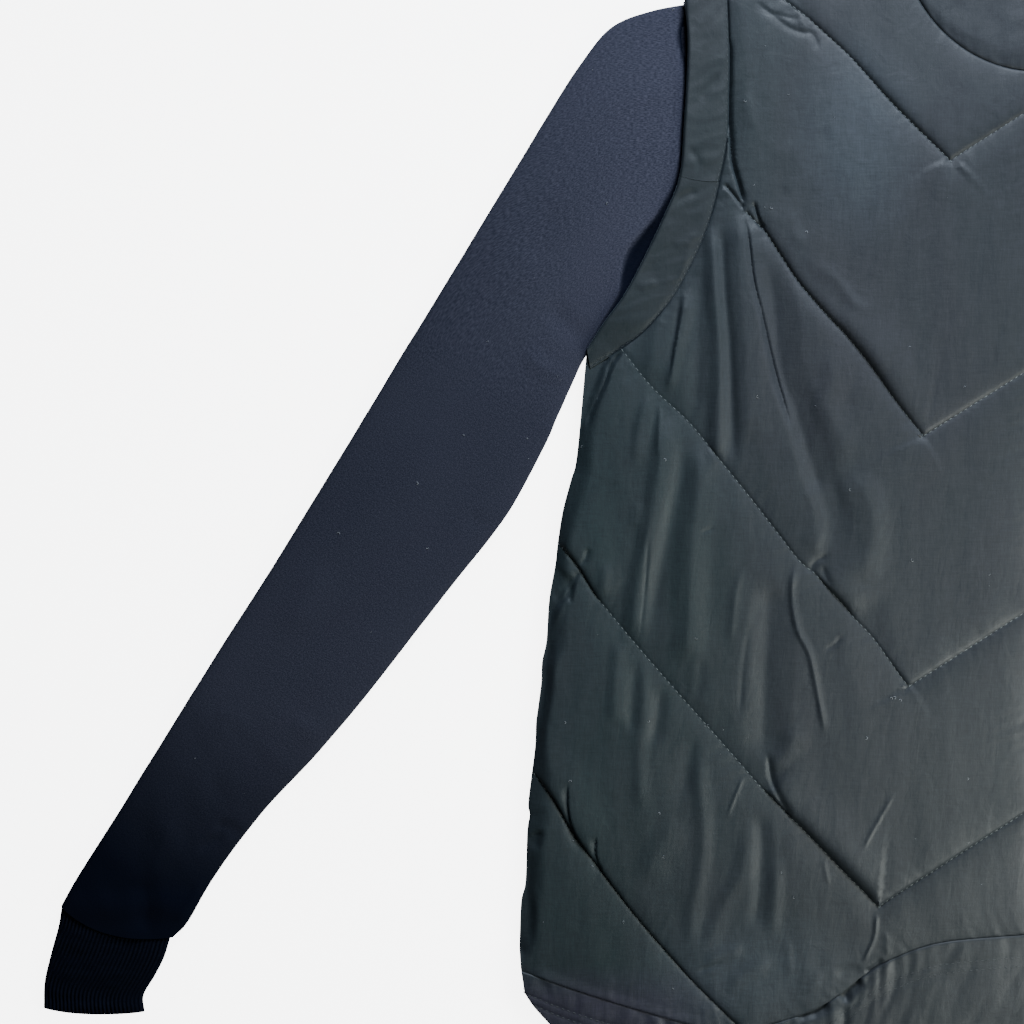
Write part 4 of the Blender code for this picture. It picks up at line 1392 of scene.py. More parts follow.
# --- Strips: armhole bands, hem bands and the collar ---
@dataclass(frozen=True)
class StripCut:
    """A strip between two edges, with as many points on each."""

    edge_a: Array
    edge_b: Array
    lows: Pair  # the underside's height at each edge
    thick: float  # at its fullest
    rows: tuple[Sequence[float], Sequence[float]]  # how far in from each edge its stitches are
    across: int = 24  # points from edge to edge
    edges: Pair = (0.45, 0.45)  # the share of its thickness that each edge has
    sink: float = 0.00025  # of the stitch rows
    bow: tuple[float, int] = (0.0, 0)  # how far the cross seam's middle is moved, and its row
    drop: float = 0.0  # how far the strip sinks towards its last end

    def places(self) -> tuple[Array, Array, Array, Array]:
        """Lay the strip's points out in the plane.

        Returns:
            Their places, and how far each is from the two edges and along the strip.
        """
        share = (1 - np.cos(np.linspace(0, pi, self.across))) / 2
        share = 0.5 * share + 0.5 * np.linspace(0, 1, self.across)
        flat = self.edge_a[:, None] + (self.edge_b - self.edge_a)[:, None] * share[None, :, None]
        wide = np.linalg.norm(self.edge_b - self.edge_a, axis=1)[:, None]
        rows = np.abs(np.arange(len(flat)) - self.bow[1])[:, None] / len(flat)
        flat[:, :, 1] -= self.bow[0] * 4 * share * (1 - share) * (1 - ease(rows * 2))
        from_a = wide * share
        along = np.broadcast_to(lengths_along(self.edge_a)[:, None], from_a.shape)
        return flat, from_a, wide - from_a, along

    def relief(self, noise: Noise, wave: float) -> Array:
        """How thick the strip is at each point, from its rounded edges to its soft middle.

        Args:
            noise: The strip's noise.
            wave: How high its small waves stand.

        Returns:
            The thickness, in a grid like the places.
        """
        _, from_a, from_b, along = self.places()
        edge = np.minimum(from_a, from_b)
        low = np.where(from_a < from_b, *self.edges)
        thick = self.thick * (low + (1 - low) * rounded(edge / 0.0018))
        for rows, off in zip(self.rows, (from_a, from_b)):
            for row in rows:
                thick -= self.sink * np.exp(-((off - row) ** 2) / 0.0007**2)
                thick -= self.sink * np.exp(-((off - row) ** 2) / 0.0026**2)
        skew = along + 0.5 * from_a
        thick += wave * noise.layered(skew / 0.011, from_a / 0.022, 2) * ease(edge / 0.004)
        return np.maximum(thick, 0.0009)

    def row_lines(self) -> list[Array]:
        """The stitch rows' lines in the plane."""
        wide = np.linalg.norm(self.edge_b - self.edge_a, axis=1)[:, None]
        ways = [row / wide for row in self.rows[0]] + [1 - row / wide for row in self.rows[1]]
        return [self.edge_a + (self.edge_b - self.edge_a) * np.clip(way, 0.04, 0.96) for way in ways]


def build_strip(
    name: str, cut: StripCut, thick: Array, finish: Material, face_down: bool = False,
    side: Side = Side.RIGHT,
) -> Object:
    """Make a strip from its cut and how thick it is at each point.

    Args:
        name: The piece's name.
        cut: The strip's cut, on the right half.
        thick: How thick it is at each point.
        finish: The material.
        face_down: True where its shaped face lies below.
        side: The side that it is on.

    Returns:
        The piece.
    """
    flat, _, _, along = cut.places()
    share = np.linspace(0, 1, cut.across)
    low = cut.lows[0] + (cut.lows[1] - cut.lows[0]) * share
    low = low - cut.drop * ease((along - along.max() + 0.03) / 0.03)
    if face_down:
        top = low + cut.thick + 0 * thick
        under = low + np.maximum(cut.thick - thick, 0.0)
    else:
        top, under = low + thick, low + 0 * thick
    outer, inner = (side.turn(np.dstack([flat, high])) for high in (top, under))
    return build_wall(name, outer, inner, finish, closed=False)


BAND_FOLDS = (
    soft(1.6, -0.7, -194, 205, -189, 214, -181, 224),
    soft(1.8, -0.7, -209, 149, -202, 153, -194, 156),
    soft(1.6, 0.6, -209, 124, -203, 126, -198, 126),
    soft(1.8, -0.6, -201, 182, -196, 175, -193, 168),
    soft(2, 0.6, -229, 99, -223, 102, -217, 104),
    soft(1.4, 0.5, -196, 135, -202, 116, -206, 103),
)


@dataclass
class ArmholeBands:
    """The bands that finish the armholes: two strips in front, on the sleeve, and one behind."""

    finishes: Finishes
    lows: Pair = (0.0088, 0.0072)
    thick: float = 0.0028
    rows: tuple[Sequence[float], Sequence[float]] = ((), (0.0014,))
    cross_bow: float = 0.0012
    cross_gap: float = 0.25  # between the strips at the cross seam, as a share of a row
    drop: float = 0.0022  # of the lower strip's end, under the arm
    flat: tuple[Pair, ...] = ((0.026, 0.111), (0.024, 0.123), (0.0245, 0.233))

    def cuts(self) -> dict[str, StripCut]:
        """The three strips of the right side.

        Returns:
            The strips by their names.
        """
        outer = smooth(BAND_ROWS[:, :2], 24)
        inner = smooth(BAND_ROWS[:, 2:], 24)
        cross = 24 * CROSS_SEAM_ROW
        lower_outer, lower_inner = outer[cross:].copy(), inner[cross:].copy()
        for line in (lower_outer, lower_inner):
            line[0] += self.cross_gap * (line[1] - line[0])
        shared = (self.lows, self.thick, self.rows)
        upper, upper_bow, lower_bow = slice(cross + 1), (self.cross_bow, cross), (self.cross_bow, 0)
        return {
            "upper": StripCut(outer[upper], inner[upper], *shared, edges=(0.45, 0.5), bow=upper_bow),
            "lower": StripCut(
                lower_outer, lower_inner, *shared, edges=(0.45, 0.85), bow=lower_bow, drop=self.drop
            ),
            "back": StripCut(outer, inner, (0.0, 0.0), 0.0026, self.rows),
        }

    def build(self) -> dict[str, list[Array]]:
        """Make the bands.

        Returns:
            Each piece's stitch rows, by its name.
        """
        stitched = {}
        for side in Side:
            for (key, cut), flat_size in zip(self.cuts().items(), self.flat):
                noise = Noise(21 + len(key) + side.value)
                back = key == "back"
                thick = cut.relief(noise, 0.0 if back else 0.00035)
                if not back:
                    thick += 0.7 * creased(BAND_FOLDS, cut.places()[0])
                name = side.named("band_back" if back else f"band_front_{key}")
                piece = build_strip(
                    name + "_strip", cut, np.maximum(thick, 0.0009), self.finishes.band, back, side
                )
                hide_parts(name)
                dress(piece, "band_nylon")
                stitched[piece.name] = [side.turn(line) for line in cut.row_lines()]
        return stitched


HEM_FOLDS = (
    fold(2.8, -3.4, 0, 0.25, -140, -315, -130, -312, -119, -307),
    fold(3, -3.4, 0, 0.25, -116, -304, -109, -299, -101, -293),
    soft(1.8, -1.6, -112, -299, -110, -303, -110, -308),
    fold(1.7, -0.9, 0, 0.25, -111, -308, -111, -316, -111, -326),
    fold(2, 0.5, 0, 0.25, -118, -309, -118, -317, -119, -325),
    fold(2, 0.4, 0, 0.25, -128, -313, -129, -319, -129, -327),
    soft(2.2, -0.4, -224, -312, -224, -318, -224, -325),
    soft(2, 0.35, -218, -314, -217, -321, -218, -329),
    soft(1.8, -0.5, -213, -316, -213, -323, -213, -331),
    soft(2, 0.4, -208, -318, -206, -325, -207, -333),
    soft(1.8, -0.6, -202, -320, -201, -327, -202, -336),
    soft(2.2, 0.6, -193, -322, -191, -329, -192, -337),
    soft(2.6, 0.3, -248, -306, -247, -312, -248, -320),
    soft(2.2, -0.3, -265, -301, -264, -306, -265, -314),
    soft(2, -0.4, -282, -295, -281, -299, -280, -306),
)


@dataclass
class HemBands:
    """The hem's bands: one along each front, gathered at the seam, and one along the back."""

    finishes: Finishes
    thick: float = 0.0038
    rows: tuple[Sequence[float], Sequence[float]] = ((0.0135, 0.0185), ())
    flat_front: Pair = (0.047, 0.291)
    flat_back: Pair = (0.0485, 0.6)

    @staticmethod
    def gathered(off: Array) -> Array:
        """How strongly the seam gathers the band, from how far off the seam each point is."""
        return (1 - np.exp(-off / 0.0012)) * np.exp(-off / 0.013)

    def build(self) -> dict[str, list[Array]]:
        """Make the hem bands.

        Returns:
            Each piece's stitch rows, by its name.
        """
        seam = shifted(smooth(HEM_ROWS[:, :2], 24), LAP)
        edge = smooth(HEM_ROWS[:, 2:], 24)
        stitched = {}
        for side in Side:
            noise = Noise(41 + side.value)
            cut = StripCut(seam, edge, (FRONT_LOW, FRONT_LOW), self.thick, self.rows, 40)
            thick = cut.relief(noise, 0.0004)
            flat, from_a, _, along = cut.places()
            uneven = 0.3 + ease(0.5 + noise.at(along / 0.05, 9.0))
            uneven *= 0.3 + 0.7 * ease((flat[:, :, 0] + 0.235) / 0.05)
            thick += 0.0012 * noise.at(along / 0.0075, from_a / 0.06) * uneven * self.gathered(from_a)
            thick += 0.0008 * noise.at(along / 0.03, from_a / 0.03 + 3) * ease(from_a / 0.006)
            thick += creased(HEM_FOLDS, flat)
            piece = build_strip(
                side.named("hem_band_front"), cut, np.maximum(thick, 0.0009),
                self.finishes.nylon, side=side,
            )
            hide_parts(side.named("hem_front"))
            dress(piece, "band_nylon")
            stitched[piece.name] = [side.turn(line) for line in cut.row_lines()]
        whole = [np.vstack([line, Side.LEFT.turn(line)[::-1]]) for line in (seam, edge)]
        cut = StripCut(whole[0], whole[1], (0.0, 0.0), BACK_TOP, self.rows, 24)
        noise = Noise(47)
        _, from_a, _, along = cut.places()
        thick = cut.relief(noise, 0.0003)
        thick -= 0.001 * np.abs(noise.at(along / 0.008, from_a / 0.06)) * self.gathered(from_a)
        piece = build_strip("hem_band_back", cut, thick, self.finishes.nylon, face_down=True)
        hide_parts("hem_back")
        dress(piece, "band_nylon")
        stitched[piece.name] = cut.row_lines()
        return stitched


@dataclass
class StandCollar:
    """The padded stand collar: a wall round the neck, pressed flat, open at the zip."""

    finishes: Finishes
    thick: float = 0.0032
    fold: float = 0.0049  # outer radius of the folds at its sides
    seam: float = -0.0002  # between the collar and the necklines
    taper: float = 0.04  # how much narrower its top is
    puff: float = 0.001
    stitch_from_top: float = 0.006
    rows: int = 30

    def path(self) -> Array:
        """The way round the neck, from one front edge to the other.

        Returns:
            Points round it: x, z, outward normal x and z, the neckline's drop and the top's dip.
        """
        inset = self.fold - self.thick / 2
        centre = NECK_HALF - self.fold
        flat = np.linspace(ZIP_OPEN, NECK_HALF * cos(radians(16)), 60)
        path = [(-x, self.fold + inset, 0.0, 1.0, 0.0) for x in flat]
        for angle in np.linspace(100, 264, 36):
            out, up = cos(radians(angle)), sin(radians(angle))
            back = float(ease(np.array((angle - 118) / 34)))
            path.append((-centre + inset * out, self.fold + inset * up, out, up, back))
        flat = np.linspace(NECK_HALF * cos(radians(16)), 0.0, 40)
        path += [(-x, self.fold - inset, 0.0, -1.0, 1.0) for x in flat]
        half = np.array(path)
        back = half[:, 4:]
        drop = NECK_DROP_FRONT + (NECK_DROP_BACK - NECK_DROP_FRONT) * back
        dip = COLLAR_DIP_FRONT + (COLLAR_DIP_BACK - COLLAR_DIP_FRONT) * back
        half = np.hstack([half[:, :4], drop, dip])
        return np.vstack([half, (half * (-1, 1, -1, 1, 1, 1))[-2::-1]])

    def grid(self, out: float, puff: Callable[[Array, Array], Array] | None = None) -> Array:
        """The points of one surface.

        Args:
            out: How far it is from the middle of the wall, outwards.
            puff: Adds to that, from the share up the collar and the distance round it.

        Returns:
            The points, in rows from one front edge to the other.
        """
        path = self.path()
        x, z, nx, nz, drop, dip = (column[:, None] for column in path.T)
        edge = np.minimum(np.abs(x + nx * self.thick / 2), NECK_HALF)
        arc = np.sqrt(1 - (edge / NECK_HALF) ** 2)
        low = NECK_Y - drop * arc + self.seam
        top = NECK_Y - dip * arc + COLLAR_RISE
        share = np.linspace(0, 1, self.rows)[None, :]
        share = 0.5 * share + 0.25 * (1 - np.cos(pi * share))
        run = np.concatenate([[0], np.cumsum(np.hypot(*np.diff(path[:, :2], axis=0).T))])[:, None]
        off = out + (puff(share, run) if puff else 0.0) * np.ones_like(run * share)
        narrow = np.where(np.abs(x) > ZIP_OPEN + 0.001, 1 - self.taper * share, 1.0)
        return np.dstack([
            (x + off * nx) * narrow, low + (top - low) * share, np.maximum(z + off * nz, 0.0),
        ])

    def build(self) -> dict[str, list[Array]]:
        """Make the collar.

        Returns:
            Its stitch row on each front's side, by the piece's name.
        """
        noise = Noise(61)
        height = 0.05

        def puff(share: Array, run: Array) -> Array:
            """How far the cloth stands out, from the shares up the collar and the way round it."""
            up, down = share * height, (1 - share) * height
            edge = np.minimum(up, down)
            rise = self.puff * (1 - np.exp(-((edge / 0.006) ** 1.5)))
            rise = rise - 0.0006 * bell((down - self.stitch_from_top) / 0.0008)
            gather = noise.at(run / 0.007, up / 0.05)
            rise = rise + 0.0009 * gather * np.exp(-up / 0.01) * ease(edge / 0.003)
            rise = rise + 0.0005 * noise.layered(run / 0.03, up / 0.03) * ease(edge / 0.01)
            return rise - 0.0009 * (1 - np.minimum(edge / 0.0015, 1)) ** 2

        outer = self.grid(self.thick / 2, puff)
        inner = self.grid(-self.thick / 2)
        piece = build_wall("stand_collar", outer, inner, self.finishes.nylon, closed=False)
        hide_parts("collar")
        dress(piece, "padded_nylon")
        row = outer[:, round(self.rows * (1 - self.stitch_from_top / height)) - 1, :2]
        count = 58
        return {piece.name: [row[:count], row[-count:]]}


# --- Sleeves ---
SLEEVE_FOLDS = (
    soft(2.2, -1, -481, -221, -473, -216, -464, -211),
    soft(2.2, 1, -476, -236, -485, -252, -495, -263),
    soft(2.2, -0.9, -467, -232, -478, -246, -487, -259),
    fold(2, -1.4, 0, 0.25, -454, -215, -462, -208, -472, -206),
    soft(3.4, -0.6, -305, -32, -316, -34, -329, -29),
    soft(3.4, 0.6, -405, -157, -416, -153, -428, -144),
    fold(10, 0.6, 0, 0.35, -428, -101, -423, -84, -405, -55),
    fold(6, 0.9, 0, 0.35, -494, -193, -500, -216, -509, -239),
    fold(10, -0.5, 0, 0.35, -273, 152, -282, 135, -296, 116),
    fold(5.2, -0.8, 0, 0.35, -250, 69, -267, 77, -282, 95),
    fold(4, 0.7, 0, 0.35, -264, 53, -279, 53, -296, 66),
    soft(5, -1.2, -515, -234, -509, -253, -515, -268),
)
# The seam up the underarm, where it shows on the front
UNDERARM_SEAM = np.array([
    (-0.3062, -0.0300), (-0.3260, -0.0590), (-0.3640, -0.1090), (-0.4010, -0.1545),
    (-0.4300, -0.1880), (-0.4540, -0.2110),
])


@dataclass
class KnitTube:
    """A flattened tube of knit through sections of two folds, on the right side."""

    rows: Array  # sections: outer fold x, y, underarm fold x, y, bow x, y, lift and height
    wall: float = 0.0015
    around: int = 96  # points across one layer
    per_span: int = 16  # sections between each two given ones

    def grids(
        self, side: Side, relief: Callable[[Array, Array, Array], Array],
        sway: Callable[[Array], Array] = np.zeros_like,
    ) -> list[Array]:
        """The outer and inner surfaces.

        Args:
            side: The side that they are on.
            relief: How far the cloth stands out, from the places in the plane, the share
                across, and 1 for the upper layer or -1 for the lower.
            sway: How far each section's folds are moved outwards.

        Returns:
            Rings of points for each surface.
        """
        rows = smooth(self.rows, self.per_span)
        turn = np.arange(2 * (self.around - 1)) * pi / (self.around - 1)
        layer = np.where(turn <= pi, 1.0, -1.0)
        made = []
        for inset, step in ((0.0, 1), (self.wall, 4)):
            at = rows[::step] if (len(rows) - 1) % step == 0 else rows
            a, b, bow = at[:, None, :2], at[:, None, 2:4], at[:, None, 4:6]
            lift, high = at[:, 6:7], at[:, 7:8]
            wide = np.linalg.norm(b - a, axis=2)
            across = (b - a) / wide[:, :, None]
            reach_out = (sway(at[:, 0]) if inset == 0 else 0 * at[:, 0])[:, None, None]
            a, b = a - across * reach_out, b + across * reach_out
            share = inset / wide + (1 - np.cos(turn)) / 2 * (1 - 2 * inset / wide)
            lean = 4 * share * (1 - share)
            flat = a + (b - a) * share[:, :, None] + bow * lean[:, :, None]
            out = np.abs(np.sin(turn)) ** 0.5
            z = lift + high / 2 + layer * (high / 2 - inset) * out
            places = flat.reshape(-1, 2), share.reshape(-1)
            upper, lower = (
                out**2 * relief(*places, np.full(flat[..., 0].size, way)).reshape(share.shape)
                for way in (1.0, -1.0)
            )
            # The inner face of the lower layer, which the upper layer can't sink through
            under = lift + high / 2 - (high / 2 - self.wall) * out + np.minimum(lower, 0.0)
            under = np.maximum(under, self.wall * out)
            if inset:
                upper = np.maximum(z + np.minimum(upper, 0.0), under + 0.0001 * out)
                z = np.where(layer > 0, upper, under)
            else:
                upper = np.maximum(z + upper, under + (self.wall + 0.0002) * out)
                z = np.where(layer > 0, upper, np.maximum(z + lower, 0.0))
            made.append(side.turn(np.dstack([flat, z])))
        return made


@dataclass
class Sleeves:
    """The two knit sleeves, which lie flat from under the armhole bands to the cuffs."""

    finishes: Finishes
    high: float = 0.0064
    head_high: float = 0.005
    lift: float = 0.0029  # over the back band
    seam_ridge: float = 0.00035
    flat: Pair = (0.404, 0.59)
    area: float = 0.1035

    def tube(self) -> KnitTube:
        """The right sleeve's tube."""
        lift, head, hand = (SLEEVE_ROWS[:, i : i + 1] for i in (4, 5, 6))
        bow = HEAD_BOW * head + HAND_BOW * hand
        high = self.high - (self.high - self.head_high) * lift
        return KnitTube(np.hstack([SLEEVE_ROWS[:, :4], bow, self.lift * lift, high]))

    def relief(self, seed: int, points: Array, share: Array, layer: Array) -> Array:
        """The folds and unevenness of a sleeve's cloth.

        Args:
            seed: Makes each sleeve's cloth its own.
            points: Places on the right half, one a row.
            share: How far across the sleeve each is.
            layer: 1 on the upper layer, -1 on the lower.

        Returns:
            How far it stands out at each point.
        """
        noise = Noise(seed)
        x, y = points.T
        turn = radians(57)
        along, across = -x * sin(turn) - y * cos(turn), x * cos(turn) - y * sin(turn)
        low = points[:, 1] < -0.14
        wave = 0.00045 * noise.layered(along / 0.11, across / 0.04 + 10 * layer, 3)
        wave += 0.00045 * low * noise.layered(along / 0.02, across / 0.035 + 5 * layer, 2)
        folds = creased(SLEEVE_FOLDS, points)
        place = reach(smooth(UNDERARM_SEAM), points)
        length = lengths_along(smooth(UNDERARM_SEAM))[-1]
        fade = ease(place.along / 0.03) * ease((length - place.along) / 0.03)
        ridge = bell(place.off / 0.0009) - 0.8 * bell((place.off - 0.0022) / 0.001)
        end = ease((-0.237 - y) / 0.01) * ease((0.012 - np.abs(y + 0.253)) / 0.012)
        raised = wave + folds + self.seam_ridge * fade * ridge + 0.0012 * end
        hollow, out = self.hollow(points)
        sunk = np.minimum(hollow * ease((out + 0.0012) / 0.0012) * 2, self.lift)
        return np.where(layer > 0, raised - hollow, 0.5 * np.abs(wave) - sunk)

    @staticmethod
    def hollow(points: Array) -> tuple[Array, Array]:
        """The hollow beside the armhole's band.

        Args:
            points: Places on the right half, one a row.

        Returns:
            How deep the sleeve sinks, and how far outside the band each point is.
        """
        band = smooth(BAND_HOLLOW)
        place = reach(band, points)
        out = -place.side * place.off
        wide, deep = (
            np.interp(place.along, lengths_along(band), band[:, i]) / 1000 for i in (2, 3)
        )
        slope = np.clip(1.1 - np.maximum(out, 0.0) / wide, 0.0, 1.0) ** 0.8
        return deep * ease((out + 0.003) / 0.0015) * slope, out

    def paint_hollow_shade(self, piece: Object, side: Side) -> None:
        """Keep in the cloth's third coordinate how much painted shade each point gets in the hollow
        beside the band.
        """
        values = piece.data.attributes["cloth"].data
        flat = side.turn(np.array([vert.co[:2] for vert in piece.data.vertices]))
        share = np.clip(self.hollow(flat)[0] / 0.002, 0.0, 1.0)
        for value, painted_hollow_shade in zip(values, share):
            value.vector[2] = FULL_PAINTED_SHADE * painted_hollow_shade

    def build(self) -> None:
        """Make both sleeves."""
        tube = self.tube()
        for side in Side:
            noise = Noise(71 + side.value)
            seed = 75 + side.value
            walls = tube.grids(
                side, lambda points, share, layer: self.relief(seed, points, share, layer),
                lambda x: 0.0005 * noise.layered(x / 0.05, 0.0, 3),
            )
            piece = build_wall(side.named("knit_sleeve"), *walls, self.finishes.sleeve, closed=True)
            # Painted shade in the hollow beside the band
            self.paint_hollow_shade(piece, side)
            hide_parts(side.named("sleeve"))
            dress(piece, "sleeve_knit")


@dataclass
class Cuffs:
    """The two narrow cuffs of darker ribbed knit, turned over at the hand."""

    finishes: Finishes
    high: float = 0.0054
    rib: float = 0.00022
    ribs: float = 0.0024  # one rib's width
    flat: Pair = (0.12, 0.05)

    def build(self) -> None:
        """Make both cuffs."""
        bow = HAND_BOW * CUFF_ROWS[:, 4:5]
        ones = np.ones((len(CUFF_ROWS), 1))
        rows = np.hstack([CUFF_ROWS[:, :4], bow, 0 * ones, self.high * ones])
        tube = KnitTube(rows, around=110, per_span=14)
        for side in Side:
            noise = Noise(81 + side.value)

            def relief(points: Array, share: Array, layer: Array) -> Array:
                """How far the ribs, folds and turned hem stand out."""
                x, y = points.T
                ribs = self.rib * np.cos(2 * pi * share * 0.06 / self.ribs)
                fold = 0.0006 * noise.layered(x / 0.03, y / 0.012, 3)
                hem = 0.0009 * bell((y + 0.311) / 0.003)
                return np.where(layer > 0, ribs + fold + hem, 0.3 * np.abs(ribs))

            walls = tube.grids(side, relief)
            piece = build_wall(side.named("knit_cuff"), *walls, self.finishes.cuff, closed=True)
            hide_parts(side.named("cuff"))
            dress(piece, "cuff_knit")


# --- Zip ---
class RepeatTree(NodeGraph):
    """A Geometry Nodes tree with named inputs that repeats one small shape."""

    KINDS = {float: "NodeSocketFloat", int: "NodeSocketInt"}

    def __init__(self, name: str, sizes: dict[str, float | int]) -> None:
        """Make the tree with one input for each size.

        Args:
            name: The tree's name.
            sizes: Its sizes, each of which becomes an input.
        """
        super().__init__(bpy.data.node_groups.new(name, "GeometryNodeTree"))
        self.sizes = sizes
        face = self.tree.interface
        face.new_socket("Geometry", in_out="INPUT", socket_type="NodeSocketGeometry")
        for key, value in sizes.items():
            face.new_socket(key, in_out="INPUT", socket_type=self.KINDS[type(value)])
        face.new_socket("Finish", in_out="INPUT", socket_type="NodeSocketMaterial")
        face.new_socket("Geometry", in_out="OUTPUT", socket_type="NodeSocketGeometry")
        self.inputs = self.add("NodeGroupInput").outputs

    def along(self) -> Any:
        """Points a pitch apart along the guide's lines."""
        curve = self.add("GeometryNodeMeshToCurve", {0: self.inputs["Geometry"]}).outputs[0]
        inputs = {"Curve": curve, "Length": self.inputs["Pitch"]}
        return self.add("GeometryNodeResampleCurve", inputs, mode="LENGTH").outputs[0]

    def size(self, *keys: str) -> Any:
        """A vector of three of the tree's inputs."""
        inputs = {i: self.inputs[key] for i, key in enumerate(keys)}
        return self.add("ShaderNodeCombineXYZ", inputs).outputs[0]

    def end(self, points: Any, shape: Any, **inputs: Any) -> None:
        """Put a shape at points, realize it, give it its finish and put it out.

        Args:
            points: Where it goes.
            shape: The shape.
            inputs: How each copy is turned or sized.
        """
        inputs = {"Points": points, "Instance": shape, **inputs}
        copies = self.add("GeometryNodeInstanceOnPoints", inputs).outputs[0]
        real = self.add("GeometryNodeRealizeInstances", {"Geometry": copies}).outputs[0]
        inputs = {"Geometry": real, "Material": self.inputs["Finish"]}
        dressed = self.add("GeometryNodeSetMaterial", inputs).outputs[0]
        self.add("NodeGroupOutput", {"Geometry": dressed})

    def run(self, guide: Object, name: str, finish: Material) -> Object:
        """Repeat the shape along a guide object, which is used up.

        Args:
            guide: The object whose mesh says where.
            name: The made piece's name.
            finish: The material.

        Returns:
            The piece, as a plain mesh.
        """
        modifier = guide.modifiers.new("repeat", "NODES")
        modifier.node_group = self.tree
        for item in self.tree.interface.items_tree:
            if item.in_out == "INPUT" and item.name in self.sizes:
                modifier[item.identifier] = self.sizes[item.name]
            elif item.in_out == "INPUT" and item.name == "Finish":
                modifier[item.identifier] = finish
        bpy.context.view_layer.update()
        made = guide.evaluated_get(bpy.context.evaluated_depsgraph_get())
        mesh = bpy.data.meshes.new_from_object(made)
        bpy.data.objects.remove(guide)
        return placed(name, mesh)


def guide_lines(name: str, lines: Iterable[Array]) -> Object:
    """An object whose mesh holds lines of edges through points.

    Args:
        name: The object's name.
        lines: Each line's points.

    Returns:
        The object.
    """
    points, edges, first = [], [], 0
    for line in lines:
        points.extend(map(tuple, line))
        edges += [(i, i + 1) for i in range(first, first + len(line) - 1)]
        first += len(line)
    mesh = bpy.data.meshes.new(name)
    mesh.from_pydata(points, edges, [])
    return placed(name, mesh)


@dataclass
class Zip:
    """The zip: woven tapes, moulded teeth, the box at its foot, the slider and its pull tab."""

    finishes: Finishes
    pitch: float = 0.003
    tooth: Triple = (0.004, 0.0017, 0.0022)

    def teeth(self) -> Object:
        """The closed chain: teeth in turn from the right and the left.

        Returns:
            The chain, as one piece.
        """
        low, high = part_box("zip_chain")
        tree = RepeatTree("zip_teeth", {
            "Pitch": self.pitch, "Tooth width": self.tooth[0], "Tooth length": self.tooth[1],
            "Tooth height": self.tooth[2],
        })
        size = tree.size("Tooth width", "Tooth length", "Tooth height")
        block = tree.add("GeometryNodeMeshCube", {"Size": size}).outputs[0]
        inputs = {"Mesh": block, "Level": 1, "Edge Crease": 0.75}
        tree.end(tree.along(), tree.add("GeometryNodeSubdivisionSurface", inputs).outputs[0])
        middle = (low.z + high.z) / 2
        lines = []
        for x, start in ((-0.0009, low.y + 0.0012), (0.0009, low.y + 0.0012 + self.pitch / 2)):
            lines.append(np.array([(x, start, middle), (x, high.y - 0.0012, middle)]))
        return tree.run(guide_lines("zip_guide", lines), "zip_teeth", self.finishes.plastic)

    def build(self) -> None:
        """Make the teeth and dress the CAD pieces of the zip."""
        teeth = self.teeth()
        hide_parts("zip_chain")
        dress(teeth, "zip_plastic")
        for name, node in frame["nodes"].items():
            if name.startswith("zip_tape"):
                node.material_slots[0].material = self.finishes.tape
            elif name.startswith("zip_") and not node.hide_render:
                node.material_slots[0].material = self.finishes.plastic


# --- Stitches and fluff ---
# The larger bits of fluff on a front, in mm
FLUFF_SPOTS = (
    (-252, -97), (-266, -215), (-217, -199), (-117, 197), (-283, -261), (-128, 33),
    (-182, -165), (-161, -183), (-99, -156), (-209, -127), (-189, -149), (-163, 159),
    (-153, 146), (-255, -253), (-237, -261), (-209, -299),
)


def dropped(piece: Object, line: Array, upward: bool = False) -> Array:
    """Lay a line on a piece.

    Args:
        piece: The piece.
        line: Points in the plane.
        upward: True to lay it against the underside.

    Returns:
        The points that meet the piece.
    """
    tree = BVHTree.FromObject(piece, bpy.context.evaluated_depsgraph_get())
    way = 1.0 if upward else -1.0
    laid = []
    for x, y in line[:, :2]:
        hit = tree.ray_cast(Vector((x, y, -way)), Vector((0, 0, way)))[0]
        if hit is not None:
            laid.append((x, y, max(hit.z, 0.0003) if upward else hit.z))
    return np.array(laid)


@dataclass
class Stitching:
    """Rows of machine stitches, each a short rounded thread that sinks in at its ends."""

    pitch: float = STITCH_PITCH
    length: float = 0.0022
    thickness: float = 0.0005

    def tree(self) -> RepeatTree:
        """The tree that lays stitches along lines.

        Returns:
            The tree.
        """
        tree = RepeatTree("stitch_row", {
            "Pitch": self.pitch, "Length": self.length, "Thickness": self.thickness,
        })
        thread = tree.add("GeometryNodeMeshIcoSphere", {"Radius": 0.5, "Subdivisions": 1})
        tangent = tree.add("GeometryNodeInputTangent").outputs[0]
        turn = tree.add("FunctionNodeAlignRotationToVector", {"Vector": tangent}, axis="X")
        size = tree.size("Length", "Thickness", "Thickness")
        tree.end(tree.along(), thread.outputs[0], Rotation=turn.outputs[0], Scale=size)
        return tree

    def sew(
        self, name: str, rows: Sequence[Array], on: Object, slot: str,
        thread: Material, upward: bool = False,
    ) -> Object:
        """Sew rows on a piece.

        Args:
            name: The stitches' name.
            rows: The rows' lines in the plane.
            on: The piece that they are sewn on.
            slot: The slot of its finish; not used.
            thread: The finish itself.
            upward: True where they show from below.

        Returns:
            The stitches.
        """
        lines = [dropped(on, resampled(row[:, :2], 0.001), upward) for row in rows]
        guide = guide_lines(name + "_guide", [line for line in lines if len(line) > 3])
        piece = self.tree().run(guide, name, thread)
        dress(piece, slot)
        return piece


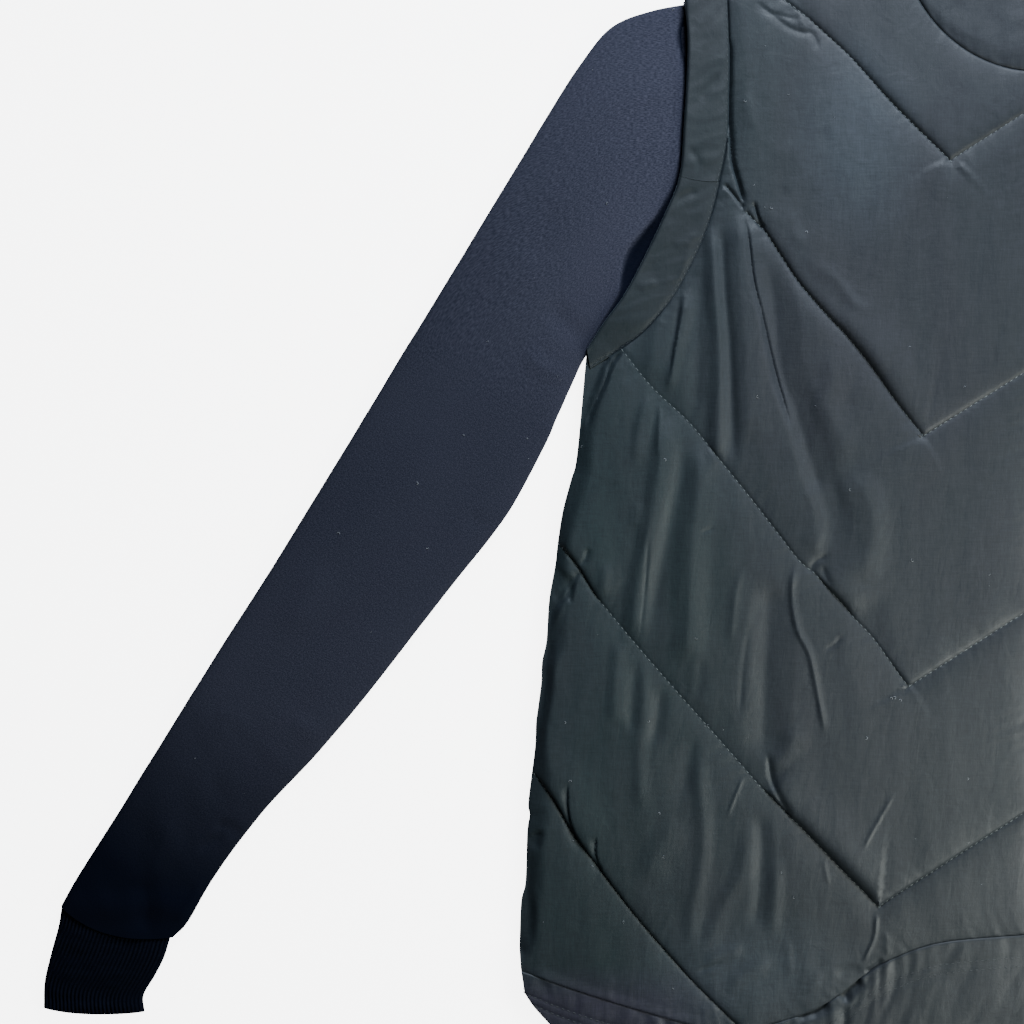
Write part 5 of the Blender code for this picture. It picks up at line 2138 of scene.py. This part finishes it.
@dataclass
class Fluff:
    """Small curled fibres that cling to the cloth."""

    finish: Material
    radius: float = 0.0006
    thickness: float = 0.00011

    def tree(self, seed: int) -> RepeatTree:
        """The tree that puts a bent fibre at each point, each turned and sized by chance.

        Args:
            seed: Makes each piece's fibres its own.

        Returns:
            The tree.
        """
        tree = RepeatTree("fibres", {
            "Radius": self.radius, "Thickness": self.thickness, "Seed": seed,
        })
        inputs = {"Resolution": 6, "Radius": tree.inputs["Radius"], "Sweep Angle": radians(210)}
        bent = tree.add("GeometryNodeCurveArc", inputs, mode="RADIUS").outputs[0]
        inputs = {"Resolution": 3, "Radius": tree.inputs["Thickness"]}
        ring = tree.add("GeometryNodeCurvePrimitiveCircle", inputs).outputs[0]
        inputs = {"Curve": bent, "Profile Curve": ring, "Fill Caps": True}
        fibre = tree.add("GeometryNodeCurveToMesh", inputs).outputs[0]
        chance = {"Seed": tree.inputs["Seed"]}
        inputs = {0: (-0.25, -0.25, 0.0), 1: (0.25, 0.25, 2 * pi), **chance}
        turn = tree.add("FunctionNodeRandomValue", inputs, data_type="FLOAT_VECTOR").outputs[0]
        size = tree.add("FunctionNodeRandomValue", {2: 0.25, 3: 1.3, **chance}, data_type="FLOAT")
        tree.end(tree.inputs["Geometry"], fibre, Rotation=turn, Scale=size.outputs[1])
        return tree

    def lay(self, name: str, spots: Array, on: Object, slot: str, seed: int) -> None:
        """Lay fibres on a piece.

        Args:
            name: The fibres' name.
            spots: Where they lie in the plane; those off the piece are left out.
            on: The piece.
            slot: The slot of its finish; not used.
            seed: Makes each piece's fibres its own.
        """
        laid = dropped(on, spots) + (0.0, 0.0, 2.2 * self.thickness)
        piece = self.tree(seed).run(guide_lines(name + "_guide", [laid]), name, self.finish)
        dress(piece, slot)

    @staticmethod
    def scattered(count: int, low: Pair, high: Pair, seed: int) -> Array:
        """Places by chance in a box, in the plane."""
        return np.random.default_rng(seed).uniform(low, high, (count, 2))


# --- Studio ---
@dataclass
class Studio:
    """The pale floor, the soft lights and the camera, which looks straight down."""

    centre: Pair = (-0.3007, -0.0273)
    width: float = 0.5888  # of the field of view on the floor
    distance: float = 1.2
    sensor: float = 36.0
    fill: float = 0.02
    glow: float = 6.0  # of the floor, which is lit from below like a light table
    spread: float = 100.0  # of the lamps, in degrees
    bounce: float = 0.35  # of the floor's light that reaches the jacket
    # Each soft lamp's name, place, the place it points at, width, watts and colour
    lamps: tuple[tuple[str, Triple, Triple, float, float, Triple], ...] = (
        ("key_light", (0.36, -0.33, 0.4), (-0.1, -0.1, 0.0), 0.4, 2.5, (0.96, 1.0, 0.91)),
        ("cool_light", (0.1, 0.88, 0.58), (-0.2, 0.1, 0.0), 0.5, 6.9, (0.79, 0.88, 1.0)),
    )

    def build(self) -> None:
        """Make the floor, the lights, the surroundings and the camera."""
        self.floor()
        for name, place, aim, size, power, colour in self.lamps:
            data = bpy.data.lights.new(name, "AREA")
            data.shape = "SQUARE"
            data.size = size
            data.energy = power
            data.color = colour
            data.spread = radians(self.spread)
            lamp = placed(name, data)
            lamp.location = place
            lamp.rotation_mode = "QUATERNION"
            lamp.rotation_quaternion = (Vector(aim) - Vector(place)).to_track_quat("-Z", "Y")
            lamp.visible_camera = False
        world = bpy.data.worlds.new("soft surroundings")
        world.use_nodes = True
        sky = world.node_tree.nodes["Background"]
        sky.inputs["Color"].default_value = (0.86, 0.93, 1.0, 1.0)
        sky.inputs["Strength"].default_value = self.fill
        bpy.context.scene.world = world
        data = bpy.data.cameras.new("camera")
        data.sensor_width = self.sensor
        data.lens = self.sensor * self.distance / self.width
        camera = placed("camera", data)
        camera.location = (*self.centre, self.distance)
        bpy.context.scene.camera = camera

    def floor(self) -> None:
        """The floor, a wide plain sheet just below the jacket."""
        bm = bmesh.new()
        bmesh.ops.create_grid(bm, x_segments=1, y_segments=1, size=9.0)
        mesh = bpy.data.meshes.new("floor")
        bm.to_mesh(mesh)
        bm.free()
        paint = bpy.data.materials.new("pale floor")
        paint.use_nodes = True
        nodes = NodeGraph(paint.node_tree)
        seen = nodes.add("ShaderNodeBsdfPrincipled", {
            "Base Color": (0.9, 0.9, 0.9), "Roughness": 0.9, "Emission Color": (1.0, 1.0, 1.0),
            "Emission Strength": self.glow,
        })
        lit = nodes.add("ShaderNodeBsdfDiffuse", {"Color": (self.bounce,) * 3})
        path = nodes.add("ShaderNodeLightPath").outputs["Is Camera Ray"]
        both = nodes.add("ShaderNodeMixShader", {0: path, 1: lit.outputs[0], 2: seen.outputs[0]})
        nodes.add("ShaderNodeOutputMaterial", {"Surface": both.outputs[0]})
        mesh.materials.append(paint)
        floor = placed("floor", mesh)
        floor.location.z = -0.0005


def main() -> None:
    """Build the jacket piece by piece, then the studio."""
    logging.basicConfig(level=logging.INFO, format="%(message)s", stream=sys.stdout)
    finishes = Finishes()
    fronts, back = QuiltedFronts(finishes), QuiltedBack(finishes)
    front_pieces = fronts.build()
    back_piece = back.build()
    bands = ArmholeBands(finishes).build()
    hems = HemBands(finishes).build()
    collar = StandCollar(finishes).build()
    for parts in (Sleeves, Cuffs, Zip):
        parts(finishes).build()

    stitching = Stitching()
    quilting = fronts.cut().quilting
    for side, piece in zip(Side, front_pieces):
        rows = [side.turn(line) for line in quilting]
        stitching.sew(side.named("quilting_stitches"), rows, piece, "padded_nylon", finishes.thread)
    rows = [side.turn(line) for side in Side for line in back.cut().quilting]
    stitching.sew("quilting_stitches_back", rows, back_piece, "padded_nylon", finishes.thread, True)
    for group, slot in ((bands, "band_nylon"), (hems, "band_nylon"), (collar, "padded_nylon")):
        for name, lines in group.items():
            upward = "back" in name
            piece = bpy.data.objects[name]
            stitching.sew(name + "_stitches", lines, piece, slot, finishes.dark_thread, upward)

    fluff = Fluff(finishes.fluff)
    for side in Side:
        front, sleeve = (bpy.data.objects[side.named(key)] for key in ("quilted_front", "knit_sleeve"))
        seed = 90 + side.value
        spots = Fluff.scattered(45, (-0.3, -0.33), (-0.01, 0.27), seed)
        spots = np.vstack([np.array(FLUFF_SPOTS) / 1000, spots])
        fluff.lay(side.named("front_fluff"), side.turn(spots), front, "padded_nylon", seed)
        spots = Fluff.scattered(80, (-0.57, -0.27), (-0.2, 0.26), seed + 4)
        fluff.lay(side.named("sleeve_fluff"), side.turn(spots), sleeve, "sleeve_knit", seed + 4)

    Studio().build()


if __name__ == "__main__":
    main()
